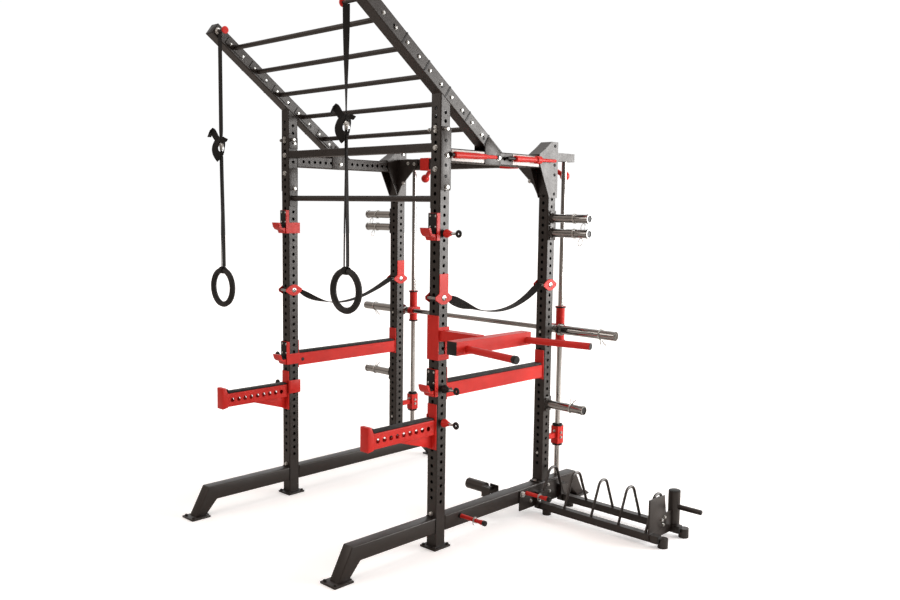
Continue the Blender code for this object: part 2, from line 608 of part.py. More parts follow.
# ---------------------------------------------------------------- landmine on its fork
pivot = (0.505, LANDMINE_Y, 0.128)
part("landmine_fork",
     box((pivot[0] - 0.024, pivot[0] + 0.024), (LANDMINE_Y - 0.036, LANDMINE_Y + 0.036),
         (0.1105, 0.1175)),
     joined=(box((pivot[0] - 0.044, pivot[0] + 0.014), (LANDMINE_Y - 0.038, LANDMINE_Y - 0.032),
                 (0.111, 0.168)),
             box((pivot[0] - 0.044, pivot[0] + 0.014), (LANDMINE_Y + 0.032, LANDMINE_Y + 0.038),
                 (0.111, 0.168))),
     mat=plate_black, origin=(pivot[0], LANDMINE_Y, 0.114))
hinge_x, hinge_z = 0.480, 0.150
sleeve_start = Vector((hinge_x - 0.020, LANDMINE_Y, hinge_z))
sleeve_end = Vector((hinge_x - 0.148, LANDMINE_Y, hinge_z))
part("landmine_sleeve",
     rod(sleeve_start, sleeve_end, 0.0290, 20),
     joined=(box((hinge_x - 0.026, hinge_x + 0.010), (LANDMINE_Y - 0.014, LANDMINE_Y + 0.014),
                 (hinge_z - 0.010, hinge_z + 0.010)),
             rod((hinge_x, LANDMINE_Y - 0.0315, hinge_z), (hinge_x, LANDMINE_Y + 0.0315, hinge_z),
                 0.008, 12)),
     cut=(rod(sleeve_start + Vector((-0.008, 0, 0)), sleeve_end + Vector((-0.01, 0, 0)),
              0.0258, 20),),
     mat=plate_black, origin=(hinge_x, LANDMINE_Y, hinge_z))

# ---------------------------------------------------------------- plate rack beside the right rail
tube_z = (0.026, 0.064)
loops = []
for x in LOOP_X:
    front_y, back_y = RACK_Y
    arch = [(x, front_y, 0.060), (x, front_y + 0.074, 0.238), (x, back_y - 0.074, 0.238),
            (x, back_y, 0.060)]
    loops.append(tube_path(rounded(arch, 0.028), 0.0078, 1))
feet = [rod((RACK_X[0] + 0.045, y, 0.0), (RACK_X[0] + 0.045, y, 0.030), 0.024, 14) for y in RACK_Y]
feet += [rod((RACK_X[1] + 0.006, y + 0.028, 0.0), (RACK_X[1] + 0.006, y + 0.028, 0.048), 0.026, 14)
         for y in RACK_Y]
wall = POST_X + POST / 2
end_y = RACK_Y[1] + 0.018
end_x = RACK_PLATE_X
end_plate = [(0.778, 0.030), (0.778, 0.240), (0.875, 0.240), (0.896, 0.140), (1.030, 0.140),
             (1.030, 0.030)]
part("plate_rack",
     box(RACK_X, (RACK_Y[0] - 0.019, RACK_Y[0] + 0.019), tube_z),
     joined=[box(RACK_X, (RACK_Y[1] - 0.019, RACK_Y[1] + 0.019), tube_z),
             box((wall + GAP, wall + 0.0063), (0.640, 1.090), (0.040, 0.150)),
             box((wall + 0.004, RACK_X[0] + 0.010), (RACK_Y[0] - 0.030, RACK_Y[0] + 0.030),
                 (0.030, 0.120)),
             box((wall + 0.004, RACK_X[0] + 0.010), (RACK_Y[1] - 0.030, RACK_Y[1] + 0.030),
                 (0.030, 0.120)),
             profile(end_plate, end_x - 0.003, end_x + 0.003),
             rod((end_x - 0.002, end_y, 0.028), (end_x - 0.002, end_y, 0.235), 0.031, 20),
             rod((end_x + 0.010, end_y, 0.155), (HANDLE_END, end_y, 0.155), 0.0135, 14),
             ] + loops + feet,
     mat=plate_black)

# ---------------------------------------------------------------- plate storage pegs
peg_y = REAR_Y + POST / 2
for label, side in SIDES:
    face = POST_X + POST / 2
    for level, heights in (("upper", (1.543, 1.622)), ("lower", (0.600,))):
        plate = box(span(side, face + GAP, face + 0.0063), (REAR_Y + 0.001, DEPTH - 0.001),
                    (heights[0] - 0.040, heights[-1] + 0.040))
        joined, bores = [], []
        for z in heights:
            root = (side * (face + 0.004), peg_y, z)
            joined.append(rod(root, (side * 0.868, peg_y, z), 0.0225, 20))
            joined.append(rod((side * 0.862, peg_y, z), (side * 0.876, peg_y, z),
                              0.0255, 20))
            bores.append(rod((side * (face + 0.020), peg_y, z),
                             (side * 0.90, peg_y, z), 0.0200, 20))
        part("storage_peg_%s_%s" % (level, label), plate, joined=joined, cut=bores, mat=chrome)

# ---------------------------------------------------------------- rear grip bar
grip = [(-0.556, 1.074, 1.857), (-0.455, 1.030, 1.922), (0.455, 1.030, 1.922),
        (0.556, 1.074, 1.857)]
grip_parts = [ball((x, 1.074, 1.857), 0.027) for x in (-0.556, 0.556)]
for side in (1, -1):
    sleeve_x = span(side, 0.284, 0.356)
    grip_parts += [
        box(sleeve_x, (REAR_Y - 0.0053, REAR_Y - GAP), (CROSS_BOTTOM - 0.005, CROSS_TOP + 0.0053)),
        box(sleeve_x, (REAR_Y - 0.0053, DEPTH + 0.0053), (CROSS_TOP + GAP, CROSS_TOP + 0.0053)),
        box(sleeve_x, (REAR_Y - 0.0053, DEPTH + 0.0053), (CROSS_BOTTOM - 0.0053, CROSS_BOTTOM - GAP)),
        box(sleeve_x, (DEPTH + GAP, DEPTH + 0.0053), (CROSS_BOTTOM - 0.005, CROSS_TOP + 0.0053)),
        box(span(side, 0.305, 0.335), (DEPTH + 0.003, 1.034), (1.910, 1.938)),
    ]
part("rear_grip_bar", tube_path(rounded(grip, 0.05), 0.013, 3), joined=grip_parts,
     mat=accent_red)

for piece in list(parts.objects) + list(cutters.objects):
    piece.location -= Vector(CENTRE)
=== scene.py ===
import json
from math import cos, sin, pi, radians, hypot, atan2, tau

import bmesh
import bpy
from mathutils import Matrix, Vector


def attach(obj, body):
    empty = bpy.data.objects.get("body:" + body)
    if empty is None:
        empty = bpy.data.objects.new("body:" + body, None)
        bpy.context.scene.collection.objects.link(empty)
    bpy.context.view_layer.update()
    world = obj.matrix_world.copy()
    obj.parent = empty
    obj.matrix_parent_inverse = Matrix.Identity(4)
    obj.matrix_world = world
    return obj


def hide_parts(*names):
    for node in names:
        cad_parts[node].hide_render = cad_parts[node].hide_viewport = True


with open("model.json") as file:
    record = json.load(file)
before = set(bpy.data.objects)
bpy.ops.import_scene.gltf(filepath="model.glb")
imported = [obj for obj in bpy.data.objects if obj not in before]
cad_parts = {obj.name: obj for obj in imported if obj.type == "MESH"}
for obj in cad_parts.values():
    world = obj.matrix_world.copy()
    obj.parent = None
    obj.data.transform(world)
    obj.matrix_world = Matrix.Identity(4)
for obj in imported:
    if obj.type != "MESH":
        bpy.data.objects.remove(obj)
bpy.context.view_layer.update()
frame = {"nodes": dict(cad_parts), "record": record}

# The set-out point lies between the front uprights, in the plane of their faces, on the floor.
CENTRE = Vector((0.2475, 0.315, 0.0))
SIDES = (("right", 1), ("left", -1))
UP, EAST, FRONT = Vector((0, 0, 1)), Vector((1, 0, 0)), Vector((0, -1, 0))
GAP = 0.0003                      # between faces that touch
POST = 0.065                      # width of the square tube
HALF = POST / 2
POST_X = 0.595                    # the uprights' middles, then their outer and inner faces
FACE = POST_X + HALF
INNER = POST_X - HALF
REAR_Y = 0.835                    # the rear uprights' front faces, then their middles
REAR_MID = REAR_Y + HALF
RAIL = (0.082, 0.158)             # lowest and highest levels of the base rails
BEAM = (1.887, 1.952)             # of the side beams
CROSS = (1.9, 1.965)            # of the rear crossmember
BEAM_MID, CROSS_MID = sum(BEAM) / 2, sum(CROSS) / 2
FOOT = 0.01                      # thickness of a foot plate
PLATE_OUT = 0.0043                # outer face of a 4 mm plate on a tube
LADDER_SLOPE = 0.735
LEAN = hypot(1.0, LADDER_SLOPE)
LADDER_TIP = -0.4535
ROD_Y = 1.015                     # the guide rods, and the guided bar
BAR_Y, BAR_Z = 0.962, 1.006
DIP_X, DIP_Z = 0.895, 1.043       # the dip bar's cross bar, and its handles' height
RACK_TUBES = (0.803, 1.01)
BAND_PEGS = (0.178, 0.698)
BAND_PEG_Z = 0.13
PEG_HEIGHTS = {"upper": (1.543, 1.622), "lower": (0.6,)}
RING_Y = -0.44
PEG_R = 0.009                     # the rings' hanger pegs
PEG_REACH = {"right": 0.116, "left": 0.066}
scene = bpy.context.scene


def ladder(y):
    """Height of a ladder beam's middle."""
    return 2.243 - LADDER_SLOPE * y


HANGER_Z = ladder(RING_Y) - 0.005


# ---- camera
def camera():
    a, p, r = radians(43.6), radians(-5.89), radians(0.79)
    right = Vector((cos(a), sin(a), 0.0))
    ahead = Vector((-sin(a) * cos(p), cos(a) * cos(p), sin(p)))
    up = right.cross(ahead)
    data = bpy.data.cameras.new("camera")
    data.sensor_width = 36.0
    data.lens = 35.63
    data.clip_end = 60.0
    cam = bpy.data.objects.new("camera", data)
    x_axis = right * cos(r) + up * sin(r)
    y_axis = -right * sin(r) + up * cos(r)
    turn = Matrix((x_axis, y_axis, -ahead)).transposed()
    cam.matrix_world = Matrix.Translation(Vector((3.5787, -3.0204, 1.6689)) - CENTRE) @ turn.to_4x4()
    scene.collection.objects.link(cam)
    scene.camera = cam


camera()


# ---- materials
class Graph:
    """A small wrapper round a node tree."""

    def __init__(self, tree):
        self.tree = tree

    def new(self, kind, **values):
        node = self.tree.nodes.new(kind)
        for key, value in values.items():
            if key in node.inputs:
                node.inputs[key].default_value = value
            else:
                setattr(node, key, value)
        return node

    def link(self, a, b):
        self.tree.links.new(a, b)

    def ramp(self, source, stops):
        node = self.new("ShaderNodeValToRGB")
        ramp = node.color_ramp
        while len(ramp.elements) < len(stops):
            ramp.elements.new(0.5)
        for element, (at, colour) in zip(ramp.elements, stops):
            element.position = at
            element.color = (*colour, 1.0)
        self.link(source, node.inputs["Fac"])
        return node.outputs["Color"]

    def range(self, source, low, high, start=0.3, end=0.7, **values):
        node = self.new("ShaderNodeMapRange", **values)
        for key, value in (("From Min", start), ("From Max", end), ("To Min", low), ("To Max", high)):
            node.inputs[key].default_value = value
        self.link(source, node.inputs["Value"])
        return node.outputs["Result"]

    def by_ray(self, others, camera_rays, output):
        """Camera rays see the second shader, and all other rays the first."""
        path = self.new("ShaderNodeLightPath")
        mixed = self.new("ShaderNodeMixShader")
        self.link(path.outputs["Is Camera Ray"], mixed.inputs[0])
        self.link(others, mixed.inputs[1])
        self.link(camera_rays, mixed.inputs[2])
        self.link(mixed.outputs[0], output.inputs["Surface"])


class Surface(Graph):
    """One procedural material."""

    def __init__(self, name, colour, roughness, metallic=0.0, gloss=0.5, tint=(1.0, 1.0, 1.0)):
        self.mat = bpy.data.materials.new(name)
        self.mat.use_nodes = True
        super().__init__(self.mat.node_tree)
        self.shader = self.tree.nodes["Principled BSDF"]
        for key, value in (("Base Color", (*colour, 1.0)), ("Roughness", roughness), ("Metallic", metallic),
                           ("Specular IOR Level", gloss), ("Specular Tint", (*tint, 1.0))):
            self.shader.inputs[key].default_value = value
        self.coords = self.new("ShaderNodeTexCoord").outputs["Object"]

    def noise(self, scale, detail=3.0, rough=0.55, stretch=None):
        node = self.new("ShaderNodeTexNoise", Scale=scale, Detail=detail, Roughness=rough)
        source = self.coords
        if stretch:
            turn = self.new("ShaderNodeMapping", Scale=stretch)
            self.link(source, turn.inputs["Vector"])
            source = turn.outputs["Vector"]
        self.link(source, node.inputs["Vector"])
        return node.outputs["Fac"]

    def bump(self, height, strength, distance):
        node = self.new("ShaderNodeBump", Strength=strength, Distance=distance)
        self.link(height, node.inputs["Height"])
        self.link(node.outputs["Normal"], self.shader.inputs["Normal"])

    def colour(self, output):
        self.link(output, self.shader.inputs["Base Color"])

    def roughness(self, output):
        self.link(output, self.shader.inputs["Roughness"])


def scaled(colour, k):
    return tuple(min(1.0, c * k) for c in colour)


def powder(name, colour, low, high, peel, gloss):
    """Powder coat: fine orange peel, cloudy gloss, faint dust and handling marks."""
    n = Surface(name, colour, (low + high) / 2, gloss=gloss, tint=(1.0, 0.97, 0.94))
    cloud = n.noise(6.0, 4.0)
    n.colour(n.ramp(cloud, [(0.25, scaled(colour, 0.82)), (0.55, colour), (0.8, scaled(colour, 1.22))]))
    n.roughness(n.range(n.noise(22.0, 5.0, 0.7), low, high))
    n.bump(n.noise(1400.0, 2.0), peel, 0.0004)
    return n.mat


def metal(name, colour, low, high, stretch, lines=0.08):
    """Plated or ground steel with fine directional marks and a few smudges."""
    n = Surface(name, colour, (low + high) / 2, metallic=1.0)
    smudge = n.noise(9.0, 5.0, 0.65)
    n.colour(n.ramp(smudge, [(0.2, scaled(colour, 0.86)), (0.7, colour)]))
    n.roughness(n.range(n.noise(30.0, 6.0, 0.75, stretch), low, high))
    n.bump(n.noise(400.0, 3.0, 0.6, stretch), lines, 0.0002)
    return n.mat


def rubber(name, colour, scale=700.0, strength=0.35, low=0.55, high=0.75):
    """Rubber or plastic with a fine grain."""
    n = Surface(name, colour, (low + high) / 2, gloss=0.32)
    n.colour(n.ramp(n.noise(14.0, 4.0), [(0.3, scaled(colour, 0.8)), (0.75, scaled(colour, 1.3))]))
    n.roughness(n.range(n.noise(40.0, 3.0), low, high))
    n.bump(n.noise(scale, 2.0), strength, 0.0006)
    return n.mat


def woven(name, colour, thread=0.0016):
    """Webbing: three crossed sets of ribs, one along each axis, as high as a thread."""
    n = Surface(name, colour, 0.82, gloss=0.25)
    n.shader.inputs["Sheen Weight"].default_value = 0.06
    n.shader.inputs["Sheen Roughness"].default_value = 0.5
    split = n.new("ShaderNodeSeparateXYZ")
    n.link(n.coords, split.inputs["Vector"])
    total = None
    for axis in "XYZ":
        turn = n.new("ShaderNodeMath", operation="MULTIPLY")
        turn.inputs[1].default_value = tau / thread
        n.link(split.outputs[axis], turn.inputs[0])
        wave = n.new("ShaderNodeMath", operation="SINE")
        n.link(turn.outputs[0], wave.inputs[0])
        if total is None:
            total = wave.outputs[0]
        else:
            join = n.new("ShaderNodeMath", operation="ADD")
            n.link(total, join.inputs[0])
            n.link(wave.outputs[0], join.inputs[1])
            total = join.outputs[0]
    level = n.range(total, 0.0, 1.0, -2.0, 2.0)
    # The colour follows the rib height: painted shade in the hollows and painted highlight on the crests.
    n.colour(n.ramp(level, [(0.2, scaled(colour, 0.55)), (0.8, scaled(colour, 1.5))]))
    n.bump(level, 0.6, 0.0006)
    return n.mat


BLACK = powder("black_coat", (0.0095, 0.0058, 0.0044), 0.34, 0.46, 0.22, 0.56)
PLATE = powder("black_plate", (0.011, 0.0074, 0.006), 0.32, 0.44, 0.22, 0.62)
RED = powder("red_coat", (0.62, 0.026, 0.02), 0.3, 0.42, 0.18, 0.22)
CHROME = metal("bright_chrome", (0.36, 0.355, 0.345), 0.06, 0.18, (1.0, 12.0, 12.0), 0.04)
ROD = metal("guide_chrome", (0.52, 0.51, 0.495), 0.1, 0.24, (12.0, 12.0, 1.0), 0.05)
ZINC = metal("zinc_bolt", (0.56, 0.56, 0.54), 0.24, 0.4, (1.0, 1.0, 1.0), 0.1)
PAD = rubber("pad_rubber", (0.0085, 0.0078, 0.0074))
# CAP also serves as painted shade: the dark plugs seen through the tubes' holes.
CAP = rubber("cap_plastic", (0.007, 0.0064, 0.006), 260.0, 0.15, 0.35, 0.5)
RING = rubber("ring_grain", (0.0085, 0.0072, 0.0062), 420.0, 0.3, 0.42, 0.62)
WEB = woven("webbing_weave", (0.0085, 0.0078, 0.0074))
PALE = powder("pale_plate", (0.78, 0.77, 0.74), 0.35, 0.45, 0.1, 0.5)
# DARK also serves as painted shade: the dark strips in the ladder beams' gaps.
DARK = rubber("weld_bead", (0.01, 0.008, 0.007), 900.0, 0.6, 0.35, 0.5)

# The record's slots: a CAD node takes the first material of its slot.
SLOTS = {"frame_black": (BLACK, CAP, DARK), "plate_black": (PLATE, PAD), "accent_red": (RED,),
         "chrome": (CHROME, ROD, ZINC, PALE), "webbing": (WEB,), "ring_black": (RING,)}


# ---- mesh helpers
def cube(bm, x, y, z, matrix=None, bevel=0.0, segments=2):
    """A box from its spans in X, Y and Z, with its edges rounded if asked."""
    size = (x[1] - x[0], y[1] - y[0], z[1] - z[0])
    centre = ((x[0] + x[1]) / 2, (y[0] + y[1]) / 2, (z[0] + z[1]) / 2)
    place = Matrix.Translation(centre) @ Matrix.Diagonal((*size, 1.0))
    verts = bmesh.ops.create_cube(bm, size=1.0, matrix=place)["verts"]
    if bevel:
        edges = list({e for v in verts for e in v.link_edges})
        rounded = bmesh.ops.bevel(bm, geom=edges, offset=bevel, segments=segments, affect="EDGES",
                                  profile=0.5, clamp_overlap=True)
        corners = {v for f in rounded["faces"] for v in f.verts}
        verts = list(corners | {w for v in corners for f in v.link_faces for w in f.verts})
    if matrix is not None:
        bmesh.ops.transform(bm, matrix=matrix, verts=verts)


def skin(bm, loops, closed=False, capped=True):
    """Faces between rings of vertices, and over the first and the last ring."""
    n = len(loops[0])
    for low, high in zip(loops, loops[1:] + (loops[:1] if closed else [])):
        for k in range(n):
            bm.faces.new((low[k], low[(k + 1) % n], high[(k + 1) % n], high[k]))
    if capped and not closed:
        bm.faces.new(loops[0][::-1])
        bm.faces.new(loops[-1])


def ellipse(centre, u, v, n):
    """Points round an ellipse with half axes u and v."""
    return [centre + u * cos(tau * k / n) + v * sin(tau * k / n) for k in range(n)]


def ring(bm, centre, u, v, n):
    return [bm.verts.new(p) for p in ellipse(centre, u, v, n)]


def turned(bm, a, axis, outline, n=24):
    """A turned piece: outline is (distance along axis, radius) from the start to the end."""
    a, axis = Vector(a), Vector(axis).normalized()
    side = axis.orthogonal().normalized()
    other = axis.cross(side)
    skin(bm, [ring(bm, a + axis * t, side * r, other * r, n) for t, r in outline])


def rod(bm, a, b, r, n=24, chamfer=0.0):
    """A round bar from a to b, with its rims chamfered if asked."""
    along = Vector(b) - Vector(a)
    length = along.length
    outline = [(0.0, r), (length, r)]
    if chamfer:
        outline = [(0.0, r - chamfer), (chamfer, r), (length - chamfer, r), (length, r - chamfer)]
    turned(bm, a, along, outline, n)


def prism(bm, points, low, high, bevel=0.0, segments=2):
    """A flat outline in Y and Z, extruded along X, with its edges rounded if asked."""
    bottom = [bm.verts.new((low, y, z)) for y, z in points]
    top = [bm.verts.new((high, y, z)) for y, z in points]
    faces = [bm.faces.new(bottom[::-1]), bm.faces.new(top)]
    count = len(points)
    for k in range(count):
        faces.append(bm.faces.new((bottom[k], bottom[(k + 1) % count], top[(k + 1) % count], top[k])))
    bmesh.ops.recalc_face_normals(bm, faces=faces)
    if bevel:
        edges = list({e for f in faces for e in f.edges})
        bmesh.ops.bevel(bm, geom=edges, offset=bevel, segments=segments, affect="EDGES",
                        profile=0.5, clamp_overlap=True)


def sweep(bm, points, radius, n=12, closed=False, flat=None):
    """A round bar (or an oval one, flat = (half width, half height, width axis)) along points."""
    count = len(points)
    loops = []
    last = None
    for i, p in enumerate(points):
        before = points[(i - 1) % count] if closed or i else p
        after = points[(i + 1) % count] if closed or i < count - 1 else p
        axis = (after - before).normalized()
        if flat:
            side = (flat[2] - axis * flat[2].dot(axis)).normalized()
        elif last is None:
            side = axis.orthogonal().normalized()
        else:
            side = (last - axis * last.dot(axis)).normalized()
        last = side
        w, h = flat[:2] if flat else (radius, radius)
        loops.append(ring(bm, p, side * w, axis.cross(side) * h, n))
    skin(bm, loops, closed)


def arc_path(points, radius, steps=6):
    """The points of a path with each inner corner rounded."""
    out = [Vector(points[0])]
    for before, corner, after in zip(points, points[1:], points[2:]):
        corner = Vector(corner)
        back = (Vector(before) - corner).normalized() * radius
        forth = (Vector(after) - corner).normalized() * radius
        for k in range(steps + 1):
            t = k / steps
            out.append(corner + back * (1 - t) ** 2 + forth * t ** 2)
    out.append(Vector(points[-1]))
    return out


def placed(mesh, mat, place, body, replaces, smooth=35.0):
    """An object of a finished mesh, in its place and its material, riding on a body."""
    obj = bpy.data.objects.new(mesh.name, mesh)
    scene.collection.objects.link(obj)
    obj.matrix_world = place
    mesh.materials.append(mat)
    mesh.polygons.foreach_set("use_smooth", [True] * len(mesh.polygons))
    mesh.set_sharp_from_angle(angle=radians(smooth))
    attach(obj, body)
    if replaces:
        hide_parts(*replaces)
    return obj


def piece(name, build, mat, body="frame", replaces=(), smooth=35.0):
    """A new piece built in set-out coordinates, riding on a body."""
    mesh = bpy.data.meshes.new(name)
    bm = bmesh.new()
    build(bm)
    bmesh.ops.recalc_face_normals(bm, faces=bm.faces)
    bm.to_mesh(mesh)
    bm.free()
    return placed(mesh, mat, Matrix.Translation(-CENTRE), body, replaces, smooth)


def made(name, mat, body="frame", **more):
    """The function below this line builds the piece of that name."""
    return lambda build: piece(name, build, mat, body, **more)


def span(side, low, high):
    """A span in X given for the right side, mirrored when side is -1."""
    return (low, high) if side > 0 else (-high, -low)


def hexbolt(bm, at, axis, size=0.019, head=0.0075, washer=True):
    """A hex head with its washer, standing on a face at a point."""
    at, axis = Vector(at), Vector(axis).normalized()
    r = size / 2 / cos(pi / 6)
    if washer:
        turned(bm, at, axis, [(0.0, size * 0.66), (0.0016, size * 0.66), (0.002, size * 0.62)], 20)
        at = at + axis * 0.002
    turned(bm, at, axis, [(0.0, r), (head * 0.82, r), (head, r * 0.8)], 6)


def rectangle_ring(count, w, h):
    """Points on a rectangle's edge at the angles of a circle's points."""
    out = []
    for k in range(count):
        a = tau * (k + 0.5) / count
        c, s = cos(a), sin(a)
        t = min(w / abs(c) if abs(c) > 1e-9 else 1e9, h / abs(s) if abs(s) > 1e-9 else 1e9)
        out.append((c * t, s * t))
    corner = atan2(h, w)
    for target in (corner, pi - corner, pi + corner, tau - corner):
        best = min(range(count), key=lambda k: abs((tau * (k + 0.5) / count) - target))
        out[best] = (w if cos(target) > 0 else -w, h if sin(target) > 0 else -h)
    return out


def tube(bm, matrix, length, half, holes, corner=0.005, wall=0.003, n=16, half2=None):
    """A square tube along +Z of matrix. holes: {"+x": [(t, radius), ...]} on each face."""
    half2 = half if half2 is None else half2
    verts = []

    def vert(quarter, x, y, z):
        for _ in range(quarter):
            x, y = -y, x
        verts.append(bm.verts.new((x, y, z)))
        return verts[-1]

    for quarter, key in enumerate(("+x", "+y", "-x", "-y")):
        out, across = (half2, half) if quarter % 2 else (half, half2)
        w = across - corner

        def put(u, t, depth=0.0):
            return vert(quarter, out - depth, u, t)

        def panel(low, high):
            if high > low + 1e-6:
                bm.faces.new((put(-w, low), put(w, low), put(w, high), put(-w, high)))

        marks = sorted(holes.get(key, []))
        start = 0.0
        for index, (t, r) in enumerate(marks):
            gap_before = (t - marks[index - 1][0]) / 2 if index else 1.0
            gap_after = (marks[index + 1][0] - t) / 2 if index + 1 < len(marks) else 1.0
            h = min(gap_before, gap_after, 0.02)
            panel(start, t - h)
            outer = [put(u, t + v) for u, v in rectangle_ring(n, w, h)]
            round_hole = [(r * cos(tau * (k + 0.5) / n), t + r * sin(tau * (k + 0.5) / n)) for k in range(n)]
            edge = [put(u, v) for u, v in round_hole]
            deep = [put(u, v, wall) for u, v in round_hole]
            for k in range(n):
                j = (k + 1) % n
                bm.faces.new((outer[k], outer[j], edge[j], edge[k]))
                bm.faces.new((edge[k], edge[j], deep[j], deep[k]))
            start = t + h
        panel(start, length)
        arcs = []
        for k in range(4):
            a = pi / 2 * k / 3
            x, y = out - corner + corner * cos(a), w + corner * sin(a)
            arcs.append((vert(quarter, x, y, 0.0), vert(quarter, x, y, length)))
        for (a0, a1), (b0, b1) in zip(arcs, arcs[1:]):
            bm.faces.new((a0, b0, b1, a1))
    bmesh.ops.transform(bm, matrix=matrix, verts=verts)


def rim(bm, matrix, half, corner=0.005, wall=0.003, depth=0.03):
    """The open end of a square tube at z = 0 of matrix: its cut edge and a little of its inside."""
    rings = []
    for inset, z in ((0.0, 0.0), (wall, 0.0), (wall, depth)):
        r = max(corner - inset, 0.001)
        rings.append([])
        for quarter, (sx, sy) in enumerate(((1, 1), (-1, 1), (-1, -1), (1, -1))):
            for k in range(4):
                a = pi / 2 * (quarter + k / 3)
                rings[-1].append(bm.verts.new((sx * (half - corner) + r * cos(a),
                                               sy * (half - corner) + r * sin(a), z)))
    skin(bm, rings, capped=False)
    bmesh.ops.transform(bm, matrix=matrix, verts=sum(rings, []))


def cut(bm, co, normal):
    """Keep the side of a plane that its normal points away from, for everything built so far."""
    geom = list(bm.verts) + list(bm.edges) + list(bm.faces)
    bmesh.ops.bisect_plane(bm, geom=geom, plane_co=co, plane_no=normal, clear_outer=True)


def dressed(node, mat):
    """A finished copy of a CAD node, with its edges rounded, that stands for the node."""
    source = frame["nodes"][node]
    mesh = source.data.copy()
    mesh.name = node + "_finish"
    bm = bmesh.new()
    bm.from_mesh(mesh)
    bmesh.ops.remove_doubles(bm, verts=bm.verts, dist=0.00004)
    bmesh.ops.dissolve_limit(bm, angle_limit=radians(1.0), verts=bm.verts, edges=bm.edges)
    bm.to_mesh(mesh)
    bm.free()
    mesh.materials.clear()
    if "custom_normal" in mesh.attributes:
        mesh.attributes.remove(mesh.attributes["custom_normal"])
    obj = placed(mesh, mat, source.matrix_world.copy(), body_of[node], [node])
    step = obj.modifiers.new("bevel", "BEVEL")
    step.width = 0.0009
    step.segments = 2
    step.limit_method = "ANGLE"
    step.angle_limit = radians(35.0)
    step.use_clamp_overlap = True
    step.harden_normals = False


bodies = frame["record"]["behaviour"]["bodies"]
body_of = {member: body for body, members in bodies.items() for member in members}
slot_of = {entry["node"]: entry["material_slot"] for entry in frame["record"]["subparts"]}


# ---- cords: the straps
STRAP_HEIGHTS = {("front", "right"): 1.24, ("rear", "right"): 1.26,
                 ("front", "left"): 1.191, ("rear", "left"): 1.217}
STRAP_SAG = {"right": ((0.304, 1.163), (0.483, 1.144)), "left": ((0.285, 1.107), (0.493, 1.105))}
STRAP_END = 0.0192                # from an upright to the end of a safety strap
SAFETY_STRAP = 0.048              # width of a safety strap
RING_STRAP = 0.036                # and of a ring strap
STRAP_THICK = 0.0016              # half a ring strap's thickness
RING_R = 0.091
RING_TUBE = 0.0155
RINGS = {"right": (0.47, 1.29), "left": (-0.545, 1.235)}
BUCKLE_Z = {"right": 2.055, "left": 2.000}


def band(bm, points, half_width, half_thick, turn=None, gather=None):
    """A flat strap along points: turn is its twist, gather its share of the full width, by length."""
    across = EAST
    count = len(points)
    loops = []
    e = half_thick * 0.8
    section = [(half_width - e, -half_thick), (half_width, 0.0), (half_width - e, half_thick),
               (e - half_width, half_thick), (-half_width, 0.0), (e - half_width, -half_thick)]
    for i, p in enumerate(points):
        axis = (points[min(i + 1, count - 1)] - points[max(i - 1, 0)]).normalized()
        side = (across - axis * across.dot(axis)).normalized()
        face = axis.cross(side)
        a = turn(i / (count - 1)) if turn else 0.0
        u = side * cos(a) + face * sin(a)
        v = face * cos(a) - side * sin(a)
        wide = gather(i / (count - 1)) if gather else 1.0
        loops.append([bm.verts.new(p + u * x * wide + v * y) for x, y in section])
    skin(bm, loops)


def safety_strap(label, side):
    edge = POST + STRAP_END
    far = REAR_Y - STRAP_END
    knots = [(edge, STRAP_HEIGHTS["front", label] + 0.004), *STRAP_SAG[label],
             (far, STRAP_HEIGHTS["rear", label] + 0.006)]

    def height(y):
        total = 0.0
        for i, (yi, zi) in enumerate(knots):
            weight = 1.0
            for j, (yj, _) in enumerate(knots):
                if j != i:
                    weight *= (y - yj) / (yi - yj)
            total += zi * weight
        return total

    ys = [edge + (far - edge) * k / 60 for k in range(61)]
    points = [Vector((side * POST_X, y, height(y))) for y in ys]

    peak = radians({"right": 66, "left": 30}[label])

    def twist(t):
        leaf = max(0.0, 1 - abs(t - 0.1) / 0.22)
        return -peak * leaf * leaf * (3 - 2 * leaf) + radians(16) * max(0.0, (t - 0.75) / 0.25)

    def gather(t):
        return 1.0 - 0.62 * max(0.0, 1 - t / 0.085) ** 1.6 - 0.3 * max(0.0, (t - 0.95) / 0.05)

    obj = piece("safety_strap_%s_web" % label,
                lambda bm: band(bm, points, SAFETY_STRAP / 2, 0.0022, twist, gather), WEB,
                replaces=["safety_strap_" + label], smooth=50.0)


